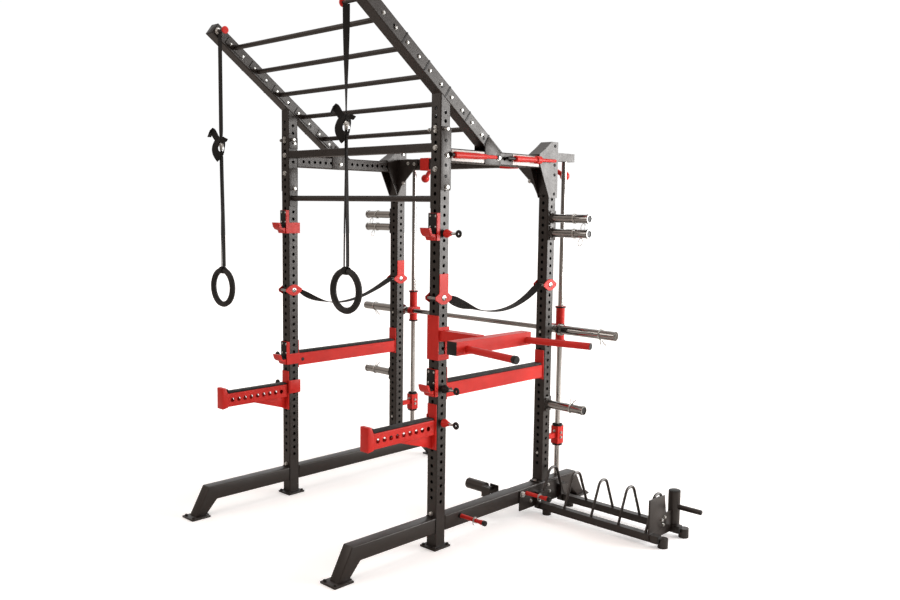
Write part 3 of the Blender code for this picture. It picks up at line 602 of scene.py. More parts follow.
def ring_strap(label, side):
    x, ring_z = RINGS[label]
    top = HANGER_Z - PEG_R - GAP
    low = ring_z + RING_R + RING_TUBE + 0.0025
    knot = BUCKLE_Z[label]
    body = "ring_strap_" + label

    def strand(start, spread, turned_by):
        count = 60
        points = []
        for k in range(count + 1):
            z = start + (low - start) * k / count
            share = max(0.0, min(1.0, (knot - z) / (knot - low)))
            ease = share * share * (3 - 2 * share)
            points.append(Vector((x + spread * ease, RING_Y, z)))

        def twist(t):
            z = start + (low - start) * t
            upper = {"right": radians(34), "left": radians(12)}[label]
            reach = top - knot if label == "right" else 0.06
            share = max(0.0, min(1.0, (knot + reach - z) / reach))
            easy = share * share * (3 - 2 * share)
            return (easy - 1) * radians(24) * (label == "right") + upper * easy * (z > knot) + (
                turned_by * max(0.0, min(1.0, (knot + 0.02 - z) / 0.1)))
        return points, twist

    first, first_twist = strand(top, -0.0125, radians(32))
    second, second_twist = strand(knot - 0.02, 0.0125, radians(62))

    def buckle(bm):
        turn = (Matrix.Translation((x + 0.012, RING_Y - 0.004, knot - 0.03))
                @ Matrix.Rotation(radians(-8), 4, "Y") @ Matrix.Scale(0.68, 4))
        cube(bm, (-0.017, 0.017), (-0.0085, -0.0045), (-0.026, 0.024), turn, 0.0012)
        cube(bm, (-0.017, -0.013), (-0.0105, 0.006), (-0.022, 0.022), turn, 0.001)
        cube(bm, (0.013, 0.017), (-0.0105, 0.006), (-0.022, 0.022), turn, 0.001)
        ends = [turn @ Vector((k, -0.01, 0.014)) for k in (-0.0165, 0.0165)]
        rod(bm, ends[0], ends[1], 0.005, 14)
        cube(bm, (-0.012, 0.012), (-0.015, -0.0085), (0.008, 0.03), turn, 0.0015)

    def knot_folds(bm):
        def ribbon(points, width, twist0, twist1):
            path = arc_path([Vector((x, RING_Y, knot)) + Vector(p) for p in points], 0.018, 5)
            band(bm, path, width, 0.0016, lambda t: twist0 + (twist1 - twist0) * t)
        ribbon([(0.004, -0.01, -0.02), (-0.02, -0.016, 0.018), (-0.05, -0.024, 0.062),
                (-0.066, -0.03, 0.022)], 0.017, 0.2, 1.1)
        ribbon([(-0.004, -0.008, 0.01), (0.022, -0.012, 0.004), (0.046, -0.016, -0.006),
                (0.07, -0.018, 0.012)], 0.014, 0.1, 0.9)
        ribbon([(0.002, -0.01, 0.016), (-0.02, -0.018, -0.008), (-0.032, -0.02, -0.044),
                (-0.014, -0.016, -0.076), (0.000, -0.008, -0.094)], 0.0205, 0.0, -0.8)
        ribbon([(0.000, 0.008, 0.02), (0.01, 0.014, -0.014), (0.006, 0.01, -0.06)], 0.014, 0.0, 0.5)
        for z, r in ((0.012, 0.0165), (-0.006, 0.018), (-0.062, 0.015)):
            loop = [Vector((x + r * cos(a), RING_Y + r * 0.62 * sin(a), knot + z + 0.003 * sin(2 * a)))
                    for a in (tau * k / 20 for k in range(20))]
            sweep(bm, loop, 0.0, 8, True, (0.009, 0.0018, UP))

    def eye(bm):
        r = RING_TUBE + 0.0022
        loop = ellipse(Vector((x, RING_Y, ring_z + RING_R)), UP * r, FRONT * -r, 24)
        sweep(bm, loop, 0.0, 8, True, (0.0165, STRAP_THICK, EAST))

    parts = [piece("ring_buckle_" + label, buckle, ZINC, body),
             piece("ring_knot_" + label, knot_folds, WEB, body, smooth=50.0),
             piece("ring_loop_" + label, eye, WEB, body, smooth=50.0)]
    main = piece("ring_strap_%s_web" % label,
                 lambda bm: band(bm, first, RING_STRAP / 2, STRAP_THICK, first_twist), WEB, body,
                 replaces=["ring_strap_" + label], smooth=50.0)
    back = piece("ring_strap_%s_back" % label,
                 lambda bm: band(bm, second, RING_STRAP / 2, STRAP_THICK, second_twist), WEB, body,
                 smooth=50.0)


for label, side in SIDES:
    safety_strap(label, side)
    ring_strap(label, side)


# ---- perforated steelwork
HOLE = 0.0092                     # radius of an adjustment hole
STEP = 0.04                      # from hole to hole
HOLE_SHADE_CORE = HALF - 0.013               # half the width of a dark plug inside a tube, painted shade seen through its holes


def pitch(start, end, step=STEP, r=HOLE):
    """A row of holes of radius r, one at every step."""
    out, t = [], start
    while t <= end + 1e-6:
        out.append((t, r))
        t += step
    return out


def rows4(low, high):
    """Hole rows on four faces; the front and back rows stand half a step off the side rows."""
    side_rows, face_rows = pitch(low, high), pitch(low + STEP / 2, high)
    return {"+x": side_rows, "-x": side_rows, "+y": face_rows, "-y": face_rows}


def front_upright(side):
    def build(bm):
        at = Matrix.Translation((side * POST_X, HALF, 0.0))
        tube(bm, at, 2.33, HALF, rows4(0.235, 2.135))
        top = ladder(HALF) - (HALF + GAP) * LEAN
        cut(bm, (0, HALF, top), Vector((0.0, LADDER_SLOPE, 1.0)).normalized())
        x = span(side, INNER + 0.0005, FACE - 0.0005)
        leg = [(0.002, RAIL[1]), (-0.53, RAIL[1]), (-0.612, 0.008), (-0.548, 0.008),
               (-0.48, RAIL[0]), (0.002, RAIL[0])]
        prism(bm, leg, x[0], x[1], 0.005, 3)
        foot = span(side, POST_X - 0.055, POST_X + 0.05)
        cube(bm, foot, (-0.0225, POST + 0.0225), (0.0, FOOT), bevel=0.0015)
        cube(bm, foot, (-0.645, -0.535), (0.0, FOOT), bevel=0.0015)
        for y in (-0.012, POST + 0.012):
            for x in (foot[0] + 0.014, foot[1] - 0.014):
                hexbolt(bm, (x, y, FOOT), UP, 0.014, 0.006)
        for x in (foot[0] + 0.016, foot[1] - 0.016):
            hexbolt(bm, (x, -0.63, FOOT), UP, 0.014, 0.006)
    return build


def rail(side):
    def build(bm):
        x = span(side, INNER, FACE)
        start = POST + GAP
        outline = [(start, RAIL[1]), (1.16, RAIL[1]), (1.248, 0.008), (1.182, 0.008),
                   (1.108, RAIL[0]), (start, RAIL[0])]
        prism(bm, outline, x[0], x[1], 0.005, 3)
        foot = span(side, POST_X - 0.055, POST_X + 0.05)
        cube(bm, foot, (1.165, 1.275), (0.0, FOOT), bevel=0.0015)
        for x in (foot[0] + 0.016, foot[1] - 0.016):
            hexbolt(bm, (x, 1.262, FOOT), UP, 0.014, 0.006)
        if side > 0:
            face = INNER
            cube(bm, (face - 0.006, face + 0.001), (0.51, 0.61), (0.084, 0.156), bevel=0.001)
            cube(bm, (0.478, face - 0.004), (0.534, 0.586), (0.088, 0.096), bevel=0.001)
            turned(bm, (0.505, 0.56, 0.094), UP, [(0.0, 0.012), (0.015, 0.012), (0.016, 0.011)])
            for y in (0.522, 0.598):
                for z in (0.102, 0.14):
                    hexbolt(bm, (face - 0.006, y, z), (-1, 0, 0), 0.013, 0.006)
    return build


for label, side in SIDES:
    piece("upright_front_%s_tube" % label, front_upright(side), BLACK, replaces=["upright_front_" + label])
    piece("base_rail_%s_tube" % label, rail(side), BLACK, replaces=["base_rail_" + label])

    @made("upright_rear_%s_tube" % label, BLACK, replaces=["upright_rear_" + label])
    def rear(bm):
        at = Matrix.Translation((side * POST_X, REAR_MID, RAIL[1] + GAP))
        tube(bm, at, CROSS[1] - RAIL[1] - GAP, HALF, rows4(0.085, 1.7))
        x = span(side, INNER, FACE)
        cube(bm, x, (REAR_Y - 0.025, REAR_Y + POST + 0.025), (RAIL[1] + GAP, RAIL[1] + 0.0063), bevel=0.001)

    @made("side_beam_%s_tube" % label, BLACK, replaces=["side_beam_" + label])
    def beam(bm):
        along = Matrix.Translation((side * POST_X, POST + GAP, BEAM_MID)) @ Matrix.Rotation(-pi / 2, 4, "X")
        tube(bm, along, REAR_Y - POST - 2 * GAP, HALF, rows4(0.04, 0.75))

    @made("ladder_beam_%s_tube" % label, BLACK, replaces=["ladder_beam_" + label])
    def sloped(bm):
        axis = Vector((0.0, 1.0, -LADDER_SLOPE)) / LEAN
        turn = Matrix((EAST, axis.cross(EAST), axis)).transposed().to_4x4()
        place = Matrix.Translation((side * POST_X, LADDER_TIP, ladder(LADDER_TIP))) @ turn
        few = pitch(0.19, 1.02, 0.186, 0.006)
        tube(bm, place, 1.3, HALF, {"+x": few, "-x": few})
        rim(bm, place, HALF)
        cut(bm, (0, 0, BEAM[1] + GAP), Vector((0, 0, -1)))
        clamp = [(0.312, 1.887), (0.43, 1.887), (0.43, 1.955), (0.338, 2.022), (0.312, 1.985)]
        for low, high in ((FACE + GAP, FACE + PLATE_OUT), (INNER - PLATE_OUT, INNER - GAP)):
            prism(bm, clamp, *span(side, low, high), 0.0012)
        root, tip = side * (INNER + 0.001), side * (INNER - PEG_REACH[label])
        rod(bm, (root, RING_Y, HANGER_Z), (tip, RING_Y, HANGER_Z), PEG_R)

    @made("ring_peg_head_" + label, RED)
    def peg_head(bm):
        turned(bm, (side * (INNER - PEG_REACH[label] + 0.004), RING_Y, HANGER_Z), (-side, 0, 0),
               [(0.0, 0.015), (0.002, 0.0186), (0.008, 0.019), (0.01, 0.0165), (0.0104, 0.008)], 28)

    @made("hole_shade_plugs_" + label, CAP)
    def hole_shade_plugs(bm):
        """Dark plugs inside the perforated uprights and beams: painted shade seen through their holes."""
        x = span(side, POST_X - HOLE_SHADE_CORE, POST_X + HOLE_SHADE_CORE)
        for y, low, high in ((HALF, 0.165, 2.1), (REAR_MID, RAIL[1] + 0.008, 1.86)):
            cube(bm, x, (y - HOLE_SHADE_CORE, y + HOLE_SHADE_CORE), (low, high), bevel=0.004)
        cube(bm, x, (POST + 0.004, REAR_Y - 0.004), (BEAM_MID - HOLE_SHADE_CORE, BEAM_MID + HOLE_SHADE_CORE), bevel=0.004)


@made("rear_crossmember_tube", BLACK, replaces=["rear_crossmember"])
def crossmember(bm):
    half = INNER - 0.0056
    along = Matrix.Translation((-half, REAR_MID, CROSS_MID)) @ Matrix.Rotation(pi / 2, 4, "Y")
    tube(bm, along, 2 * half, HALF, rows4(0.0369, 1.08))
    rim(bm, along, HALF)
    # A dark core inside the tube: painted shade seen through its holes.
    cube(bm, (0.04 - half, half - 0.04), (REAR_MID - HOLE_SHADE_CORE, REAR_MID + HOLE_SHADE_CORE),
         (CROSS_MID - HOLE_SHADE_CORE, CROSS_MID + HOLE_SHADE_CORE), bevel=0.004)


@made("front_crossbeam_tube", BLACK, replaces=["front_crossbeam"])
def crossbeam(bm):
    half = INNER - GAP
    along = Matrix.Translation((-half, 0.032, 1.955)) @ Matrix.Rotation(pi / 2, 4, "Y")
    tube(bm, along, 2 * half, 0.02, {}, half2=0.029)


# ---- every other CAD node, finished
shaped = ("upright", "base_rail", "side_beam", "rear_crossmember", "front_crossbeam", "ladder_beam",
          "spotter", "storage_peg", "jhook_pin", "safety_strap", "ring_strap")
for node in sorted(frame["nodes"]):
    if not node.startswith(shaped):
        dressed(node, ROD if node.startswith("guide_rod") else SLOTS[slot_of[node]][0])


# ---- bolts, plates and pegs on the frame
def ladder_frame(y, x, up=0.0):
    """A point's matrix on a ladder beam's centre line: local Y runs up the slope."""
    climb = Vector((0.0, -1.0, LADDER_SLOPE)) / LEAN
    out = Vector((0.0, LADDER_SLOPE, 1.0)) / LEAN
    turn = Matrix((EAST, climb, out)).transposed().to_4x4()
    return Matrix.Translation(Vector((x, y, ladder(y))) + out * up) @ turn


@made("frame_bolts", ZINC, smooth=30.0)
def frame_bolts(bm):
    for side in (1, -1):
        x = side * POST_X
        for z, size in ((2.046, 0.015), (2.028, 0.015), (1.951, 0.02), (1.851, 0.02), (0.174, 0.018)):
            hexbolt(bm, (x, 0.0, z), FRONT, size, 0.0075)
        for z in (1.916, 1.767):
            hexbolt(bm, (side * (FACE + 0.0045), 0.04, z), (side, 0, 0), 0.02, 0.008)
        for z in (2.018, 1.767):
            hexbolt(bm, (side * (INNER - 0.0045), 0.038, z), (-side, 0, 0), 0.018, 0.007)
        for k in range(-1, 9):
            y = -0.291 + 0.0722 * k
            for outward in (1, -1):
                at = Vector((x + outward * side * HALF, y, ladder(y)))
                hexbolt(bm, at + Vector((0, 0, -0.004)), (outward * side, 0, 0), 0.013, 0.0045)
        turned(bm, (side * (INNER - GAP), RING_Y, HANGER_Z), (-side, 0, 0),
               [(0.0, 0.0185), (0.003, 0.0185), (0.004, 0.016), (0.011, 0.015), (0.013, 0.012)], 24)
        hexbolt(bm, (side * (FACE + 0.0044), 0.412, 1.922), (side, 0, 0), 0.021, 0.008)
        hexbolt(bm, (side * (INNER - 0.0044), 0.372, 1.915), (-side, 0, 0), 0.019, 0.007)
        for z in (2.000, 1.905):
            hexbolt(bm, (side * (INNER - 0.0055), 0.875, z), (-side, 0, 0), 0.016, 0.006)
        for dx, z in ((0.1, 1.94), (0.155, 1.935), (0.06, 1.82)):
            hexbolt(bm, (side * (INNER - dx), REAR_Y - 0.0055, z), FRONT, 0.016, 0.006)
        for y in (REAR_Y - 0.014, REAR_Y + POST + 0.014):
            hexbolt(bm, (x, y, RAIL[1] + 0.0063), UP, 0.016, 0.006)
        for z in (1.000, 0.32):
            hexbolt(bm, (x, REAR_Y, z), FRONT, 0.013, 0.0045, washer=False)
    hexbolt(bm, (FACE + 0.0064, 0.66, 0.13), EAST, 0.026, 0.01)
    for y, z in ((0.902, 0.096), (0.735, 0.078), (0.89, 0.136), (1.06, 0.1)):
        hexbolt(bm, (FACE + 0.0064, y, z), EAST, 0.014, 0.006)
    for y, z in ((0.895, 0.112), (0.922, 0.122), (0.908, 0.086)):
        hexbolt(bm, (1.3506, y, z), EAST, 0.013, 0.006)
    hexbolt(bm, (INNER - 0.0056, 0.056, 1.045), (-1, 0, 0), 0.016, 0.007)


@made("black_screws", CAP)
def black_screws(bm):
    for side in (1, -1):
        x = side * (FACE + 0.0054)
        for z in (2.008, 1.907, 1.854, 1.752):
            turned(bm, (x, 0.878, z), (side, 0, 0), [(0.0, 0.0085), (0.0014, 0.0085), (0.003, 0.0066),
                                                     (0.0034, 0.004), (0.0016, 0.0036)], 16)
        for z in (1.87, 1.818, 1.985):
            turned(bm, (side * (FACE + 0.0045), 0.034, z), (side, 0, 0),
                   [(0.0, 0.008), (0.0014, 0.008), (0.0026, 0.0062), (0.0028, 0.004),
                    (0.001, 0.0036)], 16)
        for k in range(-2, 3):
            y = 0.006 + 0.15 * k
            for outward in (1, -1):
                at = Vector((side * POST_X + outward * side * HALF, y, ladder(y) - 0.007))
                turned(bm, at, (outward * side, 0, 0),
                       [(0.0, 0.0072), (0.0012, 0.0072), (0.0022, 0.005)], 14)


@made("ladder_gap_shade", DARK)
def ladder_gap_shade(bm):
    """Dark strips across the outer face of each ladder beam, one under every rung: painted shade where a
    narrow shadowed gap would be.
    """
    for side in (1, -1):
        for k in range(-1, 4):
            y = -0.096 + 0.1405 * k
            place = ladder_frame(y, side * (FACE + 0.0007))
            cube(bm, (-0.0008, 0.0008), (-0.0042, 0.0042), (-HALF + 0.001, HALF - 0.001), place)
            corner = ladder_frame(y, side * (FACE - 0.016), HALF + 0.0005)
            cube(bm, (-0.016, 0.016), (-0.003, 0.003), (-0.0006, 0.0006), corner)


@made("ladder_caps", CAP)
def ladder_caps(bm):
    """Plastic plugs in the upper ends of the ladder beams."""
    for side in (1, -1):
        place = ladder_frame(LADDER_TIP, side * POST_X)
        for half, y, bevel in ((HALF - 0.0032, (-0.014, 0.0008), 0.0012),
                               (HALF - 0.0008, (0.0003, 0.0026), 0.001)):
            cube(bm, (-half, half), y, (-half, half), place, bevel)


@made("post_plates", PLATE)
def post_plates(bm):
    """Thin wrap plates that bolt the beams to the tops of the front uprights."""
    for side in (1, -1):
        x = span(side, FACE + GAP, FACE + 0.0044)
        prism(bm, [(0.002, 1.752), (0.066, 1.752), (0.069, 1.76), (0.069, 2.04), (0.06, 2.05),
                   (0.008, 2.05), (0.002, 2.042)], x[0], x[1], 0.001, 2)
        x = span(side, INNER - 0.0044, INNER - GAP)
        for low, high in ((1.752, 1.88), (1.988, 2.048)):
            prism(bm, [(0.004, low), (0.062, low), (0.062, high), (0.004, high)], x[0], x[1], 0.001)


@made("cross_pins", ZINC)
def cross_pins(bm):
    """A short bar through the top of each front upright, with a cap on either end."""
    for side in (1, -1):
        x = side * POST_X
        z = 2.037
        for way in (1, -1):
            turned(bm, (x + way * (HALF + 0.0005), 0.018, z), (way, 0, 0),
                   [(0.0, 0.005), (0.024, 0.005), (0.0245, 0.0088), (0.031, 0.0088), (0.033, 0.007)], 18)


@made("beam_plates", PALE)
def edge_plates(bm):
    """Pale blank plates on the right side beam."""
    for y in ((0.074, 0.308), (0.528, 0.742)):
        cube(bm, (FACE + GAP, FACE + 0.0022), y, (BEAM[0] + 0.006, BEAM[1] - 0.006), bevel=0.0008)


@made("beam_grips", RED)
def beam_grips(bm):
    """Two tapered grips that lie along the right side beam."""
    x, z = FACE + 0.022, BEAM_MID + 0.004
    turned(bm, (x, 0.07, z - 0.004), (0, 1, 0.012),
           [(0.0, 0.0125), (0.004, 0.0165), (0.15, 0.015), (0.222, 0.0135), (0.232, 0.0095),
            (0.305, 0.0088), (0.311, 0.007)], 28)
    turned(bm, (x, 0.522, z), (0, 1, 0.012),
           [(0.0, 0.012), (0.004, 0.0165), (0.168, 0.014), (0.172, 0.0205), (0.206, 0.0205),
            (0.212, 0.014), (0.218, 0.0092), (0.336, 0.0086), (0.342, 0.0066)], 28)


@made("beam_grip_stubs", CAP)
def beam_grip_stubs(bm):
    x, z = FACE + 0.022, BEAM_MID + 0.004
    rod(bm, (x, 0.052, z - 0.004), (x, 0.071, z - 0.004), 0.0085, 18, chamfer=0.001)
    rod(bm, (x, 0.374, z + 0.001), (x, 0.392, z + 0.001), 0.0098, 18, chamfer=0.002)
    rod(bm, (x, 0.462, z), (x, 0.524, z), 0.0075, 18, chamfer=0.001)
    for y in (0.058, 0.47, 0.5):
        cube(bm, (FACE + GAP, x), (y - 0.006, y + 0.006), (z - 0.006, z + 0.006), bevel=0.001)


@made("band_pegs", RED)
def band_pegs(bm):
    for y in BAND_PEGS:
        turned(bm, (FACE + 0.007, y, BAND_PEG_Z), EAST,
               [(0.0, 0.0115), (0.004, 0.0105), (0.12, 0.01), (0.128, 0.012), (0.14, 0.012),
                (0.144, 0.0105)], 22)


@made("band_peg_rings", ZINC)
def band_peg_rings(bm):
    for y in BAND_PEGS:
        turned(bm, (FACE + 0.092, y, BAND_PEG_Z), EAST, [(0.0, 0.0128), (0.009, 0.0128)], 22)
        centre = Vector((FACE + 0.0965, y, BAND_PEG_Z - 0.004))
        sweep(bm, ellipse(centre, UP * 0.019, FRONT * -0.016, 24), 0.0018, 8, True)


@made("band_peg_caps", CAP)
def band_peg_caps(bm):
    for y in BAND_PEGS:
        turned(bm, (FACE + 0.0002, y, BAND_PEG_Z), EAST, [(0.0, 0.015), (0.005, 0.015), (0.0068, 0.013)],
               22)
        turned(bm, (FACE + 0.1512, y, BAND_PEG_Z), EAST,
               [(0.0, 0.0105), (0.001, 0.0138), (0.014, 0.0138), (0.018, 0.011)], 22)


# ---- pads on hooks, bars and arms
def pad(name, build):
    piece(name, build, PAD)


SPOTTER_Z = 0.5
SAFETY_TOP = 0.82
JHOOK_Z = {"upper": 1.515, "lower": 0.765}

for label, side in SIDES:
    x = side * POST_X
    for level, z in JHOOK_Z.items():
        def face_pad(bm):
            cube(bm, (x - 0.0318, x + 0.0285), (-0.0125, -0.0046), (z + 0.034, z + 0.1285), bevel=0.0014)
            cube(bm, (x - 0.027, x + 0.027), (-0.045, -0.0135), (z + 0.0303, z + 0.0365), bevel=0.0012)

        pad("jhook_pad_%s_%s" % (level, label), face_pad)

        @made("jhook_screws_%s_%s" % (level, label), ZINC)
        def pad_screws(bm):
            for dx in (-0.018, 0.018):
                for dz in (0.064, 0.116):
                    turned(bm, (x + dx, -0.0126, z + dz), FRONT,
                           [(0.0, 0.0056), (0.001, 0.0056), (0.0022, 0.0042), (0.0024, 0.0024),
                            (0.001, 0.0022)], 14)

    pad("safety_bar_pad_" + label,
        lambda bm: cube(bm, (x - 0.0235, x + 0.0235), (0.074, 0.822),
                        (SAFETY_TOP + GAP, SAFETY_TOP + 0.0125), bevel=0.0022))

    def arm_pads(bm):
        top = SPOTTER_Z + 0.148
        cube(bm, (x - 0.0205, x + 0.0205), (-0.398, -0.01), (top + GAP, top + 0.0105), bevel=0.002)
        cube(bm, (x - 0.02, x + 0.02), (-0.401, -0.395), (top + 0.011, top + 0.024), bevel=0.001)

    pad("spotter_pad_" + label, arm_pads)

    @made("spotter_arm_%s_shaped" % label, RED, replaces=["spotter_arm_" + label])
    def tidy_arm(bm):
        """The spotter arm with its row of holes, its wall plates, gusset and turned-up tip."""
        base, wrapped = SPOTTER_Z, (SPOTTER_Z + 0.095, SPOTTER_Z + 0.17)
        along = Matrix.Translation((x, -0.002, base + 0.111)) @ Matrix.Rotation(pi / 2, 4, "X")
        row = pitch(0.046, 0.38, 0.0405, 0.0118)
        tube(bm, along, 0.402, 0.022, {"+x": row, "-x": row}, 0.004, 0.004, 20, half2=0.037)
        plate = (x - 0.03, x + 0.03)
        cube(bm, plate, (-0.0053, -GAP), (base, base + 0.224), bevel=0.0012)
        gusset = [(-0.003, base + 0.004), (-0.003, base + 0.076), (-0.24, base + 0.076)]
        prism(bm, gusset, x - 0.003, x + 0.003, 0.0006)
        nose = [(-0.402, base + 0.072), (-0.402, base + 0.15), (-0.415, base + 0.182),
                (-0.436, base + 0.182), (-0.436, base + 0.066)]
        prism(bm, nose, x - 0.028, x + 0.028, 0.0022, 2)
        inner = span(side, INNER - 0.0043, INNER - GAP)
        wrap = [(-0.004, wrapped[0]), (POST + 0.01, wrapped[0]), (POST + 0.01, wrapped[1]),
                (-0.004, wrapped[1])]
        prism(bm, wrap, inner[0], inner[1], 0.0012)
        cube(bm, span(side, INNER - 0.0043, POST_X - 0.02), (-0.0053, -GAP), wrapped, bevel=0.0008)

    piece("safety_bar_plug_" + label,
          lambda bm: rod(bm, (x + 0.0252, 0.1, SAFETY_TOP - 0.036), (x + 0.0262, 0.1, SAFETY_TOP - 0.036),
                         0.0105, 20), CAP)


# ---- pull pins
PIN_HEIGHTS = {"jhook_pin_upper": JHOOK_Z["upper"] + 0.034, "jhook_pin_lower": JHOOK_Z["lower"] + 0.034,
               "spotter_pin": SPOTTER_Z + 0.132}

for label, side in SIDES:
    for kind, z in PIN_HEIGHTS.items():
        node = "%s_%s" % (kind, label)
        at = (side * FACE, HALF, z)
        out = (side, 0, 0)

        @made(node + "_shaft", CHROME, node, replaces=[node])
        def pin_shaft(bm):
            turned(bm, at, out, [(0.0015, 0.015), (0.0125, 0.015), (0.013, 0.012)], 24)
            turned(bm, at, out, [(0.033, 0.0062), (0.08, 0.0062), (0.0835, 0.005)], 18)

        @made(node + "_boss", CAP if kind == "jhook_pin_lower" else RED, node)
        def pin_boss(bm):
            turned(bm, at, out, [(0.012, 0.0175), (0.0135, 0.0208), (0.021, 0.0208), (0.03, 0.0165),
                                 (0.04, 0.0125), (0.046, 0.011)], 26)

        @made(node + "_ring", CAP, node)
        def pin_ring(bm):
            loop = ellipse(Vector(at) + Vector((side * 0.0945, 0, 0)), EAST * 0.0118, UP * 0.0118, 28)
            sweep(bm, loop, 0.007, 12, True)


# ---- strap bracket pins
for label, side in SIDES:
    for end, middle in (("front", HALF), ("rear", REAR_MID)):
        z = STRAP_HEIGHTS[end, label]

        @made("strap_pins_%s_%s" % (end, label), CHROME)
        def pins(bm):
            inner, outer = side * (INNER - 0.004), side * (FACE + 0.004)
            for y in (-HALF - 0.01, HALF + 0.01):
                rod(bm, (inner, middle + y, z), (outer, middle + y, z), 0.0076, 18, chamfer=0.001)
            for x, way in ((side * (FACE + 0.0044), side), (side * (INNER - 0.0044), -side)):
                turned(bm, (x, middle, z), (way, 0, 0),
                       [(0.0, 0.014), (0.0012, 0.014), (0.0026, 0.0125), (0.003, 0.007),
                        (0.0016, 0.0064)], 24)


# ---- Smith machine trim
def end_rings(bm, x, heights, r, thick):
    """Rings with rounded rims round a guide rod's sleeve."""
    for z in heights:
        turned(bm, (x, ROD_Y, z + 0.0005), UP,
               [(0.0, r - 0.0008), (0.001, r), (thick - 0.001, r), (thick, r - 0.0008)], 28)


for label, side in SIDES:
    x = side * POST_X
    piece("carriage_rings_" + label, lambda bm: end_rings(bm, x, (0.93, 1.12), 0.0296, 0.009), CAP,
          "carriages")
    piece("stop_rings_" + label, lambda bm: end_rings(bm, x, (0.335, 0.4445), 0.0292, 0.011), CAP,
          "safety_stop_" + label)

    @made("stop_bolts_" + label, ZINC, "safety_stop_" + label)
    def stop_bolts(bm):
        for z in (0.409, 0.382):
            hexbolt(bm, (x + 0.0242, ROD_Y, z), EAST, 0.013, 0.006)
        hexbolt(bm, (x, 0.9888, 0.418), FRONT, 0.012, 0.005)


def clip(bm, at, r, out, way):
    """A wire spring clip round a bar that runs along X: its ring, and two short levers."""
    at = Vector(at)
    coil = [at + Vector((0.004 * a / tau - 0.004, r * cos(a), r * sin(a)))
            for a in (tau * k / 22 for k in range(50))]
    sweep(bm, coil, 0.0022, 8)
    for dx in (-0.004, 0.008):
        foot = at + Vector((dx, 0.0, way * r))
        sweep(bm, [foot, foot + Vector((dx * 0.6, out * 0.3, way * out * 0.6)),
                   foot + Vector((dx * 2.2, out * 0.5, way * out))], 0.0026, 8)


for label, side in SIDES:
    piece("sleeve_clip_" + label, lambda bm: clip(bm, (side * 0.905, BAR_Y, BAR_Z), 0.0275, 0.03, -1), ZINC,
          "smith_bar")
    piece("peg_clip_" + label,
          lambda bm: clip(bm, (side * (FACE + 0.165), REAR_MID, PEG_HEIGHTS["lower"][0]), 0.025, 0.022, 1),
          ZINC)


# ---- storage pegs
for label, side in SIDES:
    way = (side, 0, 0)
    for level, heights in PEG_HEIGHTS.items():
        node = "storage_peg_%s_%s" % (level, label)

        @made(node + "_mount", PLATE, replaces=[node])
        def mount(bm):
            cube(bm, span(side, FACE + GAP, FACE + 0.0063), (REAR_Y + 0.001, REAR_Y + POST - 0.001),
                 (heights[0] - 0.04, heights[-1] + 0.04), bevel=0.0012)
            for z in heights:
                turned(bm, (side * (FACE + 0.006), REAR_MID, z), way,
                       [(0.0, 0.029), (0.006, 0.029), (0.01, 0.024), (0.016, 0.024)], 26)
                for dz in (-0.03, 0.03):
                    hexbolt(bm, (side * (FACE + 0.0063), REAR_MID - 0.02, z + dz), way, 0.013, 0.006)

        @made(node + "_bar", CHROME)
        def peg(bm):
            for z in heights:
                turned(bm, (side * (FACE + 0.016), REAR_MID, z), way,
                       [(0.0, 0.0222), (0.001, 0.0225), (0.222, 0.0225), (0.2225, 0.0253), (0.232, 0.0253),
                        (0.2335, 0.024), (0.2335, 0.0202), (0.19, 0.02)], 36)

        @made(node + "_cap", CAP)
        def cap(bm):
            for z in heights:
                turned(bm, (side * (FACE + 0.226), REAR_MID, z), way,
                       [(0.0, 0.0198), (0.018, 0.0198), (0.02, 0.018)], 28)

    @made("spring_collars_" + label, ZINC)
    def spring_collars(bm):
        for z, dx in zip(PEG_HEIGHTS["upper"], (0.196, 0.212)):
            start, r = side * (FACE + 0.15), 0.0247
            coil = [Vector((start + side * 0.0042 * a / tau, REAR_MID + r * cos(a), z + r * sin(a)))
                    for a in (tau * k / 20 for k in range(64))]
            sweep(bm, coil, 0.0019, 8)
            centre = Vector((side * (FACE + dx), REAR_MID - 0.004, z - 0.044))
            sweep(bm, ellipse(centre, Vector((0.013, 0, 0)), Vector((0, 0.006, 0.02)), 24), 0.0018, 8, True)


# ---- caps and small trim
@made("tube_caps", CAP)
def tube_caps(bm):
    """Plastic plugs in the open ends of the dip bar and its handles, and of the rack's tubes."""
    for y in (-0.1895, 0.3348):
        cube(bm, (DIP_X - 0.0285, DIP_X + 0.0285), (y, y + 0.0047), (1.0195, 1.0805), bevel=0.002)
    front = Vector((1.25 - 0.916, -0.174 + 0.112, 0.0)).normalized()
    turned(bm, Vector((1.25, -0.174, DIP_Z)) - front * 0.012, front,
           [(0.0, 0.017), (0.001, 0.0182), (0.018, 0.0182), (0.022, 0.015)], 24)
    back = Vector((1.248 - 0.916, 0.371 - 0.307, 0.0)).normalized()
    turned(bm, Vector((1.248, 0.371, DIP_Z)) - back * 0.002, back, [(0.0, 0.0162), (0.003, 0.0162)], 24)
    for y in RACK_TUBES:
        cube(bm, (1.3915, 1.3945), (y - 0.0185, y + 0.0185), (0.0265, 0.0635), bevel=0.0012)
    turned(bm, (1.343, 1.028, 0.2346), UP, [(0.0, 0.0305), (0.003, 0.0305), (0.005, 0.027)], 26)
    turned(bm, (1.494, 1.028, 0.155), EAST, [(0.0, 0.013), (0.003, 0.0125), (0.0045, 0.01)], 20)


